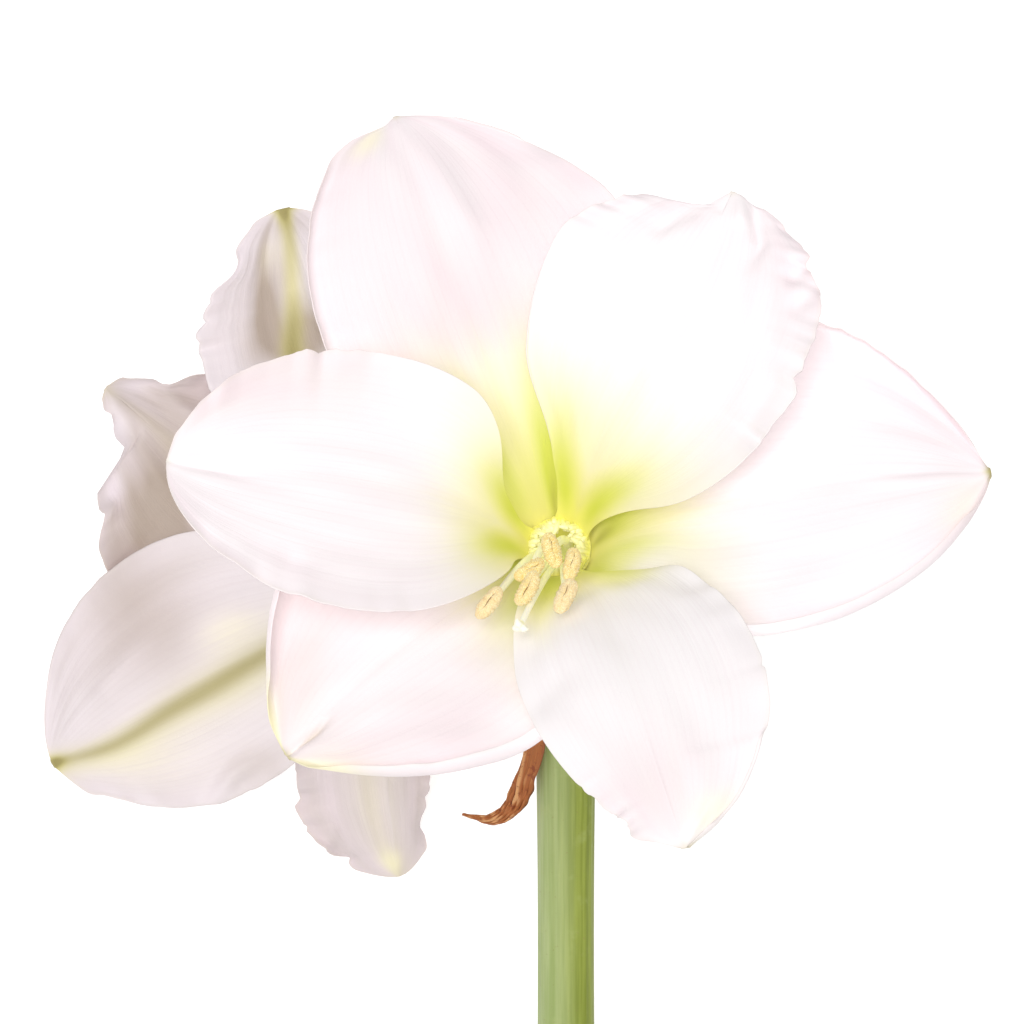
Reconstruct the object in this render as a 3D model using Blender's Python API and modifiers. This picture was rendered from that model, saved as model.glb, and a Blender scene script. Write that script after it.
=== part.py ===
"""A cut amaryllis lying on a surface: a hollow scape that carries two open blooms back to back.

The head is laid out in its own frame: the origin at the scape's top, X to the right, Y up the scape and
Z towards someone who looks into the front bloom. An empty then lays the whole flower down, so that it
rests on the scape's cut end and on the tips of two tepals of the back bloom. Lengths are in metres and
angles in degrees.
"""

import math

import bmesh
import bpy
import numpy as np
from mathutils import Vector

# How the flower lies: the scape slopes up from its cut end to the head's origin. A tepal that would
# reach the surface is pressed flat over this depth.
HEAD_PITCH = 16.0
HEAD_AT = (0.0278, 0.0984, 0.1133)
PRESS_DEPTH = 0.002

# Scape
SCAPE_LENGTH = 0.380
SCAPE_TOP_RADIUS = 0.00865
SCAPE_CUT_RADIUS = 0.00975
SCAPE_COLLAR_RADIUS = 0.0094
SCAPE_WALL = 0.0032
SCAPE_SOLID_TOP = 0.018
SCAPE_FLATNESS = 0.92
SCAPE_SIDES = 24

# Gap between pieces that touch
SEAT_GAP = 0.0003

# Tepals
TEPAL_THICKNESS = 0.0008
TEPAL_ROWS = 16
TEPAL_COLUMNS = 10
TIP_HALF_WIDTH = 0.0009
KEEL_DEPTH = 0.0008
KEEL_HALF_WIDTH = 0.004
CAMBER_REACH = 0.035
MIDRIB_STEPS = 400
OPENING_AT = (0.0, 0.12, 0.3, 0.55, 0.8, 1.0)
WHORLS = {
    "outer": dict(base_radius=0.0076, claw=0.95),
    "inner": dict(base_radius=0.0062, claw=0.62),
}

# Where each bloom sits on the head, which way it faces, where its pedicel leaves the scape, and how far its
# stamens hang: 1 is the full distance towards the south of the bloom's own compass, -1 towards its north
BLOOMS = {
    "front": dict(
        at=(-0.002, 0.040, 0.030), faces=(-0.08, 0.30, 0.95), root=(0.0005, SEAT_GAP, 0.0041), hang=1,
    ),
    "back": dict(
        at=(-0.046, 0.036, -0.020), faces=(-0.25, -0.05, -0.95), root=(-0.0005, SEAT_GAP, -0.0041), hang=-0.7,
    ),
}

# Each tepal leaves the tube at its azimuth, counted from the bloom's east towards its north. Its midrib turns
# by sweep and then by bend on its way out, and leans from the bloom's axis by the opening angles, at the
# stations of OPENING_AT. Left and right give each half's width, the station of its widest point and how
# pointed its end is. Lift raises the margins, and the margins wave by ruffle and are notched by scallop.
TEPALS = {
    "front_tepal_outer_right": dict(
        azimuth=-6, sweep=9, bend=2, length=0.141, opening=(4, 15, 37, 72, 90, 102),
        left=(0.048, 0.58, 0.90), right=(0.0385, 0.57, 0.82), camber=4, twist=-4, lift=-0.0008,
    ),
    "front_tepal_inner_top": dict(
        azimuth=54, sweep=-4, bend=17, length=0.129, opening=(4, 12, 26, 58, 82, 98),
        left=(0.038, 0.74, 0.76), right=(0.041, 0.62, 0.58), camber=24, twist=-6, lift=-0.004,
    ),
    "front_tepal_outer_top": dict(
        azimuth=114, sweep=-4, bend=-2, length=0.145, opening=(4, 16, 40, 75, 92, 104),
        left=(0.038, 0.60, 0.67), right=(0.049, 0.58, 0.81), camber=-1, twist=6, lift=-0.0004,
    ),
    "front_tepal_inner_left": dict(
        azimuth=174, sweep=3, bend=-1, length=0.132, opening=(4, 12, 27, 59, 77, 86),
        left=(0.037, 0.59, 0.59), right=(0.0325, 0.63, 0.68), camber=3, twist=3.5, lift=0.006,
    ),
    "front_tepal_outer_left": dict(
        azimuth=234, sweep=-11, bend=-1, length=0.1215, opening=(4, 14, 31, 64, 86, 103),
        left=(0.0435, 0.53, 0.89), right=(0.0445, 0.58, 0.90), camber=2, twist=7.5, lift=-0.0004,
    ),
    "front_tepal_inner_bottom": dict(
        azimuth=294, sweep=-3, bend=-6, length=0.1465, opening=(4, 14, 30, 49, 71, 89),
        left=(0.0315, 0.69, 0.72), right=(0.0265, 0.57, 0.71), camber=9, twist=11, lift=-0.006,
    ),
    "back_tepal_outer_top": dict(
        azimuth=-94, sweep=-11, bend=0, length=0.153, opening=(4, 17, 40, 69, 84, 94),
        left=(0.038, 0.60, 0.75), right=(0.040, 0.64, 0.68), camber=-1, twist=0, lift=-0.001,
        ruffle=0.0025, scallop=0.0015, waves=4, phase=0,
    ),
    "back_tepal_inner_left": dict(
        azimuth=-154, sweep=14, bend=-3, length=0.138, opening=(4, 12, 31, 62, 83, 98),
        left=(0.031, 0.61, 0.78), right=(0.050, 0.60, 1.0), camber=2, twist=4, lift=0.0025,
        ruffle=0.0035, scallop=0.003, waves=4, phase=115,
    ),
    "back_tepal_outer_left": dict(
        azimuth=-214, sweep=6, bend=-3, length=0.144, opening=(4, 16, 38, 68, 88, 102),
        left=(0.0445, 0.60, 0.72), right=(0.039, 0.62, 0.77), camber=-1, twist=1, lift=-0.0005,
        ruffle=0.001, scallop=0, waves=4, phase=0,
    ),
    "back_tepal_inner_bottom": dict(
        azimuth=-274, sweep=-5, bend=-2, length=0.135, opening=(4, 13, 30, 57, 73, 81),
        left=(0.031, 0.72, 0.62), right=(0.020, 0.65, 0.50), camber=-1, twist=-2, lift=0.0022,
        ruffle=0.0025, scallop=0.002, waves=4, phase=57,
    ),
    "back_tepal_outer_right": dict(
        azimuth=-334, sweep=-20, bend=0, length=0.147, opening=(4, 16, 38, 67, 81, 90),
        left=(0.031, 0.68, 0.70), right=(0.035, 0.60, 0.75), camber=0, twist=0, lift=-0.001,
        ruffle=0.0015, scallop=0, waves=3, phase=57,
    ),
    "back_tepal_inner_right": dict(
        azimuth=-34, sweep=2, bend=0, length=0.138, opening=(4, 13, 32, 62, 78, 86),
        left=(0.034, 0.64, 0.60), right=(0.032, 0.64, 0.60), camber=0, twist=3, lift=0.0015,
        ruffle=0.0025, scallop=0.0015, waves=4, phase=0,
    ),
}
SMOOTH_MARGIN = dict(ruffle=0, scallop=0, waves=0, phase=0)

# Pedicels, each with its ovary: distance before the bloom's origin, and radius there
PEDICEL_RADIUS = 0.0037
OVARY_PROFILE = (
    (0.0170, 0.0040),
    (0.0130, 0.0054),
    (0.0090, 0.0065),
    (0.0050, 0.0066),
    (0.0022, 0.0070),
    (SEAT_GAP, 0.0082),
)
PEDICEL_FOOT = 0.001
PEDICEL_RISE = 0.014
PEDICEL_POINTS = 9

# Stamens in the bloom's own compass: east, south and height of each anther, and the angle of its long axis
STAMENS = (
    (0.0059, 0.0159, 0.0513, 80),
    (0.0009, 0.0125, 0.0528, 105),
    (-0.0047, 0.0179, 0.0536, 35),
    (-0.0145, 0.0278, 0.0586, 52),
    (-0.0049, 0.0240, 0.0580, 60),
    (0.0049, 0.0272, 0.0615, 66),
)
FIRST_FILAMENT_ANGLE = -5
FILAMENT_RADIUS = 0.0009
FILAMENT_RING = 0.0042
FILAMENT_RISE = 0.42
FILAMENT_POINTS = 8
ANTHER_SIZE = (0.0038, 0.0092, 0.0034)
STAMEN_DISC_RADIUS = 0.0051
STAMEN_DISC_HEIGHT = 0.0016
STIGMA_AT = (-0.0066, 0.0360, 0.0659)
STIGMA_LOBE_RADIUS = 0.0011
STIGMA_LOBE_LENGTH = 0.0034
STYLE_RADIUS = 0.0009
STYLE_LEAN = 0.3
STYLE_RISE = 0.7

# Spathe, two dried valves: points of each middle line, the width and the radius of the roll along it
BRACT_THICKNESS = 0.0007
BRACT_ROWS = 14
BRACT_COLUMNS = 8
BRACTS = {
    "spathe_bract_left": dict(
        line=((-0.0097, -0.0030, 0.0028), (-0.0099, -0.0130, 0.0030), (-0.0119, -0.0235, 0.0034),
              (-0.0158, -0.0312, 0.0036), (-0.0208, -0.0350, 0.0030), (-0.0255, -0.0352, 0.0015),
              (-0.0300, -0.0336, -0.0005)),
        width=(0.0150, 0.0130, 0.0105, 0.0088, 0.0068, 0.0040, 0.0012),
        roll=(0.0101, 0.0085, 0.0040, 0.0026, 0.0024, 0.0022, 0.0022),
        outside=(-0.96, 0, 0.28),
    ),
    "spathe_bract_right": dict(
        line=((0.0074, -0.0030, -0.0064), (0.0080, -0.0080, -0.0076), (0.0092, -0.0130, -0.0100),
              (0.0108, -0.0172, -0.0136), (0.0124, -0.0200, -0.0180), (0.0134, -0.0212, -0.0226)),
        width=(0.0140, 0.0125, 0.0105, 0.0080, 0.0048, 0.0012),
        roll=(0.0101, 0.0088, 0.0046, 0.0030, 0.0026, 0.0026),
        outside=(0.76, 0, -0.65),
    ),
}

# Colours, as sRGB, and roughness
MATERIALS = {
    "scape_green": ((163, 178, 104), 0.55),
    "petal_white": ((253, 247, 246), 0.6),
    "petal_back_white": ((232, 222, 218), 0.6),
    "spathe_brown": ((176, 120, 80), 0.75),
    "anther_cream": ((246, 220, 150), 0.8),
    "style_cream": ((248, 243, 205), 0.55),
}

UP = Vector((0, math.sin(math.radians(HEAD_PITCH)), math.cos(math.radians(HEAD_PITCH))))


def unit(vectors):
    return vectors / np.linalg.norm(vectors, axis=-1, keepdims=True)


def ease(x, start, end):
    """0 before start, 1 past end, and an S curve between them."""
    t = np.clip((x - start) / (end - start), 0, 1)
    return t * t * (3 - 2 * t)


def through(stations, values, x):
    """A smooth curve through the given values, read at x."""
    stations = np.asarray(stations, float)
    values = np.asarray(values, float)
    slopes = np.diff(values) / np.diff(stations)
    slopes = np.concatenate((slopes[:1], (slopes[1:] + slopes[:-1]) / 2, slopes[-1:]))
    i = np.clip(np.searchsorted(stations, x, side="right") - 1, 0, len(stations) - 2)
    width = stations[i + 1] - stations[i]
    t = (x - stations[i]) / width
    ends = (1 + 2 * t) * (1 - t) ** 2 * values[i] + t * t * (3 - 2 * t) * values[i + 1]
    return ends + width * t * (1 - t) * ((1 - t) * slopes[i] - t * slopes[i + 1])


def compass(bloom):
    """The bloom's origin, its axis out of its mouth, and the east and north of its face."""
    axis = unit(np.array(bloom["faces"]))
    east = unit(np.array((1, 0, 0)) - axis[0] * axis)
    return np.array(bloom["at"]), axis, east, np.cross(axis, east)


def lifted_off_surface(points, clearance):
    """Points bent up smoothly, so that none comes nearer to the surface than the clearance."""
    up = np.array(UP)
    height = points @ up + HEAD_AT[2] - clearance
    soft = (height + PRESS_DEPTH) ** 2 / (4 * PRESS_DEPTH)
    lifted = np.where(height > PRESS_DEPTH, height, np.where(height < -PRESS_DEPTH, 0, soft))
    return points + (lifted - height)[..., None] * up


# Tepals


def midrib(bloom, tepal, whorl, stations):
    """The midrib's points, its frame (along, across, up), its distance from the bloom's axis and its lean."""
    origin, axis, east, north = compass(bloom)
    fine = np.linspace(0, 1, MIDRIB_STEPS + 1)
    lean = np.radians(through(OPENING_AT, tepal["opening"], fine))[:, None]
    heading = tepal["azimuth"] + tepal["sweep"] * ease(fine, 0.05, 0.6) + tepal["bend"] * ease(fine, 0.4, 1)
    heading = np.radians(heading)[:, None]
    outward = np.cos(heading) * east + np.sin(heading) * north
    along = np.cos(lean) * axis + np.sin(lean) * outward
    across = np.cos(heading) * north - np.sin(heading) * east
    steps = (along[1:] + along[:-1]) / 2 * tepal["length"] / MIDRIB_STEPS
    points = origin + whorl["base_radius"] * outward[0] + np.vstack((np.zeros(3), np.cumsum(steps, axis=0)))

    def at_stations(values):
        return np.stack([np.interp(stations, fine, column) for column in values.T], axis=-1)

    points = at_stations(points)
    along = unit(at_stations(along))
    up = unit(np.cross(along, at_stations(across)))
    across = np.cross(up, along)
    twist = np.radians(tepal["twist"]) * ease(stations, 0.3, 0.9)[:, None]
    across, up = np.cos(twist) * across + np.sin(twist) * up, np.cos(twist) * up - np.sin(twist) * across
    radius = np.linalg.norm(np.cross(points - origin, axis), axis=1)
    return points, across, up, radius, np.interp(stations, fine, lean[:, 0])


def outline(stations, half):
    """Half width along the tepal, widest at its own station."""
    width, widest, pointed = half
    rise = np.sin(np.clip(stations / widest, 0, 1) * math.pi / 2) ** 1.25
    fall = np.clip((stations - widest) / (1 - widest), 0, 1) ** 2.2
    return width * np.where(stations < widest, rise, (1 - fall) ** pointed)


def tepal_points(bloom, tepal, whorl, rows, columns):
    """Middle surface of a tepal: rows from its claw to its tip, each from its right margin to its left."""
    edge = {**SMOOTH_MARGIN, **tepal}
    u = 1 - (1 - np.linspace(0, 1, rows + 1)) ** 1.35
    v = np.sin(np.linspace(-1, 1, columns + 1) * 0.4 * math.pi) / math.sin(0.4 * math.pi)
    points, across, up, radius, lean = midrib(bloom, tepal, whorl, u)
    u, radius, lean = u[:, None], radius[:, None], lean[:, None]
    upright = np.cos(lean)
    # Width: the outline, held to the claw's share of the tube, with a waved margin
    claw = whorl["claw"] + (0.96 - whorl["claw"]) * ease(u, 0.14, 0.42)
    limit = claw * math.pi / 3 * radius / np.maximum(upright, 0.15)
    half = np.where(v < 0, outline(u, tepal["right"]), outline(u, tepal["left"]))
    half = (np.maximum(half, 1e-6) ** -4 + limit**-4) ** -0.25
    waved = ease(u, 0.3, 0.6) * ease(1 - u, 0, 0.12)
    wave = 2 * math.pi * edge["waves"] * u + np.radians(edge["phase"]) + np.where(v < 0, 2.1, 0)
    half = np.maximum(half - edge["scallop"] * waved * (1 + np.cos(wave)) / 2, TIP_HALF_WIDTH)
    # Section: wrapped round the tube near the claw, cambered further out
    side = v * half
    curve = upright / radius * (1 - ease(u, 0.35, 0.7))
    curve = curve + math.radians(tepal["camber"]) / CAMBER_REACH * ease(u, 0.25, 0.6)
    curve = np.where(np.abs(curve) < 0.01, 0.01, curve)
    height = (1 - np.cos(curve * side)) / curve
    height = height + edge["ruffle"] * np.abs(v) ** 3 * waved * np.sin(wave)
    height = height + tepal["lift"] * v**2 * ease(u, 0.15, 0.5)
    height = height - KEEL_DEPTH * np.exp(-((side / KEEL_HALF_WIDTH) ** 2)) * ease(u, 0.1, 0.3)
    side = np.sin(curve * side) / curve
    grid = points[:, None] + side[..., None] * across[:, None] + height[..., None] * up[:, None]
    return lifted_off_surface(grid, TEPAL_THICKNESS / 2)


# Blender objects


def linear(colour):
    """An sRGB colour of 0 to 255 as Blender's linear RGBA."""
    share = [c / 255 for c in colour]
    return [c / 12.92 if c <= 0.04045 else ((c + 0.055) / 1.055) ** 2.4 for c in share] + [1]


def material(name):
    found = bpy.data.materials.get(name)
    if found:
        return found
    colour, roughness = MATERIALS[name]
    made = bpy.data.materials.new(name)
    made.use_nodes = True
    made.diffuse_color = linear(colour)
    shader = made.node_tree.nodes["Principled BSDF"]
    shader.inputs["Base Color"].default_value = linear(colour)
    shader.inputs["Roughness"].default_value = roughness
    shader.inputs["Metallic"].default_value = 0
    return made


def add(name, mesh, collection, colour=None, parent=None):
    thing = bpy.data.objects.new(name, mesh)
    collection.objects.link(thing)
    thing.parent = parent
    if colour:
        mesh.materials.clear()
        mesh.materials.append(material(colour))
        mesh.shade_smooth()
    return thing


def mesh_of(bm, name):
    mesh = bpy.data.meshes.new(name)
    bm.to_mesh(mesh)
    bm.free()
    return mesh


def sheet(name, points, thickness, colour, collection, parent):
    """A grid of points as a thin blade, its faces split into triangles before it is thickened."""
    rows, columns = points.shape[0] - 1, points.shape[1] - 1
    bm = bmesh.new()
    bmesh.ops.create_grid(bm, x_segments=columns, y_segments=rows, size=1)
    for vertex in bm.verts:
        column = round((vertex.co.x + 1) / 2 * columns)
        row = round((vertex.co.y + 1) / 2 * rows)
        vertex.co = points[row, column]
    bmesh.ops.triangulate(bm, faces=bm.faces[:], quad_method="SHORT_EDGE")
    blade = add(name, mesh_of(bm, name), collection, colour, parent)
    solidify = blade.modifiers.new("thickness", "SOLIDIFY")
    solidify.thickness = thickness
    solidify.offset = 0
    return blade


def tube(name, points, radii, resolution, collection):
    """A closed mesh tube of varying radius along the points."""
    curve = bpy.data.curves.new(name, "CURVE")
    curve.dimensions = "3D"
    curve.bevel_depth = 1
    curve.bevel_resolution = resolution
    curve.use_fill_caps = True
    spline = curve.splines.new("POLY")
    spline.points.add(len(points) - 1)
    for spot, place, radius in zip(spline.points, points, radii):
        spot.co = (*place, 1)
        spot.radius = radius
    guide = add(name + "_guide", curve, collection)
    graph = bpy.context.evaluated_depsgraph_get()
    mesh = bpy.data.meshes.new_from_object(guide.evaluated_get(graph))
    place = guide.matrix_world.copy()
    bpy.data.objects.remove(guide)
    bm = bmesh.new()
    bm.from_mesh(mesh)
    bpy.data.meshes.remove(mesh)
    bmesh.ops.remove_doubles(bm, verts=bm.verts[:], dist=1e-6)
    tubular = add(name, mesh_of(bm, name), collection)
    tubular.matrix_world = place
    return tubular


def ellipsoid(name, size, centre, along, facing, collection):
    """A low ball stretched to size, its second side along one direction and its third facing another."""
    along = Vector(along).normalized()
    facing = (Vector(facing) - Vector(facing).dot(along) * along).normalized()
    sideways = along.cross(facing)
    bm = bmesh.new()
    bmesh.ops.create_uvsphere(bm, u_segments=8, v_segments=6, radius=0.5)
    for vertex in bm.verts:
        x, z, y = vertex.co
        vertex.co = Vector(centre) + x * size[0] * sideways + y * size[1] * along + z * size[2] * facing
    bmesh.ops.recalc_face_normals(bm, faces=bm.faces[:])
    return add(name, mesh_of(bm, name), collection)


def fused(base, pieces, colour, parent):
    """The base and a collection's objects as one body; the collection and its objects are removed."""
    union = base.modifiers.new("union", "BOOLEAN")
    union.operation = "UNION"
    union.operand_type = "COLLECTION"
    union.collection = pieces
    bpy.context.view_layer.update()
    graph = bpy.context.evaluated_depsgraph_get()
    mesh = bpy.data.meshes.new_from_object(base.evaluated_get(graph))
    base.modifiers.clear()
    for piece in list(pieces.objects):
        bpy.data.objects.remove(piece)
    bpy.data.collections.remove(pieces)
    mesh.name = base.name
    base.data = mesh
    mesh.materials.clear()
    mesh.materials.append(material(colour))
    mesh.shade_smooth()
    base.parent = parent
    return base


# Pieces of the flower


def build_scape(collection, parent):
    """A turned, slightly oval tube, closed near its top and open at its cut end."""
    bore_top = SCAPE_TOP_RADIUS - SCAPE_WALL
    profile = (
        (0, 0),
        (0.0076, 0),
        (0.0090, -0.0012),
        (SCAPE_COLLAR_RADIUS, -0.0040),
        (SCAPE_COLLAR_RADIUS, -0.0070),
        (SCAPE_TOP_RADIUS, -0.0160),
        (SCAPE_CUT_RADIUS - 0.0003, -0.6 * SCAPE_LENGTH),
        (SCAPE_CUT_RADIUS, -SCAPE_LENGTH + 0.0005),
        (SCAPE_CUT_RADIUS - 0.0005, -SCAPE_LENGTH),
        (SCAPE_CUT_RADIUS - SCAPE_WALL, -SCAPE_LENGTH),
        (bore_top, -SCAPE_SOLID_TOP - 0.010),
        (0.6 * bore_top, -SCAPE_SOLID_TOP - 0.002),
        (0, -SCAPE_SOLID_TOP),
    )
    bm = bmesh.new()
    verts = [bm.verts.new((radius, 0, height)) for radius, height in profile]
    for a, b in zip(verts, verts[1:]):
        bm.edges.new((a, b))
    scape = add("scape", mesh_of(bm, "scape"), collection, "scape_green", parent)
    screw = scape.modifiers.new("turn", "SCREW")
    screw.steps = screw.render_steps = SCAPE_SIDES
    screw.use_merge_vertices = True
    screw.merge_threshold = 1e-6
    scape.rotation_euler = (-math.pi / 2, 0, 0)
    scape.scale = (1, SCAPE_FLATNESS, 1)
    scape.data.set_sharp_from_angle(angle=math.radians(50))


def build_bract(name, bract, collection, parent):
    """A narrow dried blade whose section is an arc, rolled tighter towards its tip."""
    line = np.array(bract["line"])
    stations = np.linspace(0, 1, len(line))
    u = np.linspace(0, 1, BRACT_ROWS + 1)
    centre = np.stack([through(stations, line[:, i], u) for i in range(3)], axis=-1)
    along = unit(np.gradient(centre, axis=0))
    outside = np.array(bract["outside"])
    outside = unit(outside - (along @ outside)[:, None] * along)
    across = np.cross(along, outside)
    width = through(stations, bract["width"], u)[:, None]
    roll = through(stations, bract["roll"], u)[:, None]
    angle = np.linspace(-0.5, 0.5, BRACT_COLUMNS + 1) * width / roll
    side = (np.sin(angle) * roll)[..., None] * across[:, None]
    depth = ((1 - np.cos(angle)) * roll)[..., None] * outside[:, None]
    sheet(name, centre[:, None] + side - depth, BRACT_THICKNESS, "spathe_brown", collection, parent)


def build_pedicel(name, bloom, collection, parent):
    """The bloom's stalk, from the scape's top to the collar that its tepals stand on, with the ovary."""
    origin, axis, _, _ = compass(bloom)
    root = np.array(bloom["root"])
    ovary = [origin - distance * axis for distance, _ in OVARY_PROFILE]
    foot = root + np.array((0, PEDICEL_FOOT, 0))
    rise = foot + np.array((0, PEDICEL_RISE, 0))
    bend = ovary[0] - PEDICEL_RISE * axis
    t = np.linspace(0, 1, PEDICEL_POINTS)[:-1, None]
    stalk = (1 - t) ** 3 * foot + 3 * t * (1 - t) ** 2 * rise + 3 * t * t * (1 - t) * bend + t**3 * ovary[0]
    radii = [PEDICEL_RADIUS] * (1 + len(stalk)) + [radius for _, radius in OVARY_PROFILE]
    pedicel = tube(name, [root, *stalk, *ovary], radii, 4, collection)
    pedicel.parent = parent
    pedicel.data.materials.append(material("scape_green"))
    pedicel.data.shade_smooth()


def compass_point(bloom, east_distance, south_distance, height):
    origin, axis, east, north = compass(bloom)
    return origin + east_distance * east - bloom["hang"] * south_distance * north + height * axis


def reaching(start, leaves, rise, end, count):
    """The line of a filament or style: it rises along its first direction, then bends out to its end."""
    t = np.linspace(0, 1, count)[:, None]
    control = start + rise * np.linalg.norm(end - start) * unit(leaves)
    return (1 - t) ** 3 * start + 3 * t * (1 - t) ** 2 * control + (3 * t * t * (1 - t) + t**3) * end


def build_stamens(name, bloom, collection, parent):
    """Six filaments with their anthers, on one disc at the foot of the tube."""
    origin, axis, east, north = compass(bloom)
    pieces = bpy.data.collections.new(name + "_pieces")
    bpy.context.scene.collection.children.link(pieces)
    for i, (out_east, out_south, height, turn) in enumerate(STAMENS):
        angle = math.radians(FIRST_FILAMENT_ANGLE + 60 * i)
        ring = (FILAMENT_RING * math.cos(angle), -FILAMENT_RING * math.sin(angle))
        start = compass_point(bloom, *ring, SEAT_GAP + STAMEN_DISC_HEIGHT / 2)
        end = compass_point(bloom, out_east, out_south, height)
        line = reaching(start, axis, FILAMENT_RISE, end, FILAMENT_POINTS)
        tube(f"filament_{i}", line, [FILAMENT_RADIUS] * FILAMENT_POINTS, 1, pieces)
        turn = math.radians(turn)
        along = math.cos(turn) * east + bloom["hang"] * math.sin(turn) * north
        centre = end + 0.3 * ANTHER_SIZE[2] * axis
        ellipsoid(f"anther_{i}", ANTHER_SIZE, centre, along, axis, pieces)
    bm = bmesh.new()
    bmesh.ops.create_cone(
        bm, cap_ends=True, segments=12, radius1=STAMEN_DISC_RADIUS, radius2=STAMEN_DISC_RADIUS,
        depth=STAMEN_DISC_HEIGHT,
    )
    disc = add(name, mesh_of(bm, name), collection)
    disc.location = origin + (SEAT_GAP + STAMEN_DISC_HEIGHT / 2) * axis
    disc.rotation_euler = Vector(axis).to_track_quat("Z", "Y").to_euler()
    fused(disc, pieces, "anther_cream", parent)


def build_style(name, bloom, collection, parent):
    """The style, from above the stamens' disc out past the anthers, with its three-lobed stigma."""
    _, axis, east, north = compass(bloom)
    start = compass_point(bloom, 0, 0, 2 * SEAT_GAP + STAMEN_DISC_HEIGHT)
    end = compass_point(bloom, *STIGMA_AT)
    leaves = axis - STYLE_LEAN * bloom["hang"] * north
    line = reaching(start, leaves, STYLE_RISE, end, FILAMENT_POINTS)
    pieces = bpy.data.collections.new(name + "_pieces")
    bpy.context.scene.collection.children.link(pieces)
    for i in range(3):
        angle = math.radians(90 + 120 * i)
        spread = math.cos(angle) * east + math.sin(angle) * north
        lobe_size = (2 * STIGMA_LOBE_RADIUS, STIGMA_LOBE_LENGTH, 2 * STIGMA_LOBE_RADIUS)
        centre = end + 0.3 * STIGMA_LOBE_LENGTH * spread
        ellipsoid(f"lobe_{i}", lobe_size, centre, spread + 0.5 * axis, axis, pieces)
    stem = tube(name, line, [STYLE_RADIUS] * FILAMENT_POINTS, 1, collection)
    fused(stem, pieces, "style_cream", parent)


def main():
    for leftover in list(bpy.data.objects):
        bpy.data.objects.remove(leftover)
    bpy.context.scene.unit_settings.system = "METRIC"
    flower = bpy.data.collections.new("Amaryllis")
    bpy.context.scene.collection.children.link(flower)
    head = add("lying_head", None, flower)
    head.location = HEAD_AT
    head.rotation_euler = (math.radians(HEAD_PITCH), 0, 0)
    build_scape(flower, head)
    for name, bract in BRACTS.items():
        build_bract(name, bract, flower, head)
    for name, tepal in TEPALS.items():
        bloom = BLOOMS[name.split("_")[0]]
        whorl = WHORLS[name.split("_")[2]]
        points = tepal_points(bloom, tepal, whorl, TEPAL_ROWS, TEPAL_COLUMNS)
        colour = "petal_white" if name.startswith("front") else "petal_back_white"
        sheet(name, points, TEPAL_THICKNESS, colour, flower, head)
    for name, bloom in BLOOMS.items():
        build_pedicel(name + "_pedicel", bloom, flower, head)
        build_stamens(name + "_stamens", bloom, flower, head)
        build_style(name + "_style", bloom, flower, head)


main()
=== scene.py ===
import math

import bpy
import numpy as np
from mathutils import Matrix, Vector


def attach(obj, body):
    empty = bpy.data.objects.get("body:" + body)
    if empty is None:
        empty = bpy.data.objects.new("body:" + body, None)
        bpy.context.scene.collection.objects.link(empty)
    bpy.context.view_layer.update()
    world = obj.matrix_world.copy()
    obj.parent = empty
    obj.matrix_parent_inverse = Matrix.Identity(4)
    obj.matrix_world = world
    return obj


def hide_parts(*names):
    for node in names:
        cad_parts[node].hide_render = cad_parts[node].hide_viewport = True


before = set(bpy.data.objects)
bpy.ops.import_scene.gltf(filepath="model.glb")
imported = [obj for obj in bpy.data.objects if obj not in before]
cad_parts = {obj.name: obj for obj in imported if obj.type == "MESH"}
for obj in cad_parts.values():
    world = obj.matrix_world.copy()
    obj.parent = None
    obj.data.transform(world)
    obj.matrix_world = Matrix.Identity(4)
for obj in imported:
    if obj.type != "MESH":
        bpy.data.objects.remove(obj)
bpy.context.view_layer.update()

# The looks of the cut amaryllis. Its pieces are laid out in the head's own frame, as in the CAD model: the
# origin at the scape's top, X to the right, Y up the scape and Z towards someone who looks into the front
# bloom. in_row lays them down. Lengths are in metres, angles in degrees and colours in sRGB.

# How the flower lies
HEAD_PITCH = 16.0
HEAD_AT = (0.0278, 0.0984, 0.1133)
PRESS_DEPTH = 0.002
FLOOR_CLEARANCE = 0.00003
PITCH = math.radians(HEAD_PITCH)
UP = np.array((0, math.sin(PITCH), math.cos(PITCH)))

# Camera: its place in the head's frame, and its focal length in pixels of the photograph
CAMERA_AT = (-0.0156, 0.0542, 0.750)
FOCAL_PIXELS = 2600
PICTURE_PIXELS = 1024
SENSOR_WIDTH = 36
CLIP_RANGE = (0.01, 50)

# Scape. Its crown is given as radius and height.
SCAPE_LENGTH = 0.380
SCAPE_TOP_RADIUS = 0.00865
SCAPE_CUT_RADIUS = 0.00975
SCAPE_COLLAR_RADIUS = 0.0094
SCAPE_WALL = 0.0032
SCAPE_SOLID_TOP = 0.018
SCAPE_FLATNESS = 0.92
SCAPE_SIDES = 120
SCAPE_RIDGES = (7, 11, 17, 26)
SCAPE_CROWN = (
    (0.0002, 0.0), (0.0030, 0.0), (0.0060, -0.0001), (0.0078, -0.0005), (0.0089, -0.0016),
    (SCAPE_COLLAR_RADIUS, -0.0040), (SCAPE_COLLAR_RADIUS, -0.0065), (0.0091, -0.0100),
)
RIDGE_HEIGHT = 0.00003
BORE_ROUGHNESS = 0.00018
CUT_ROUGHNESS = 0.00016
SEAT_GAP = 0.0003

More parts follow.
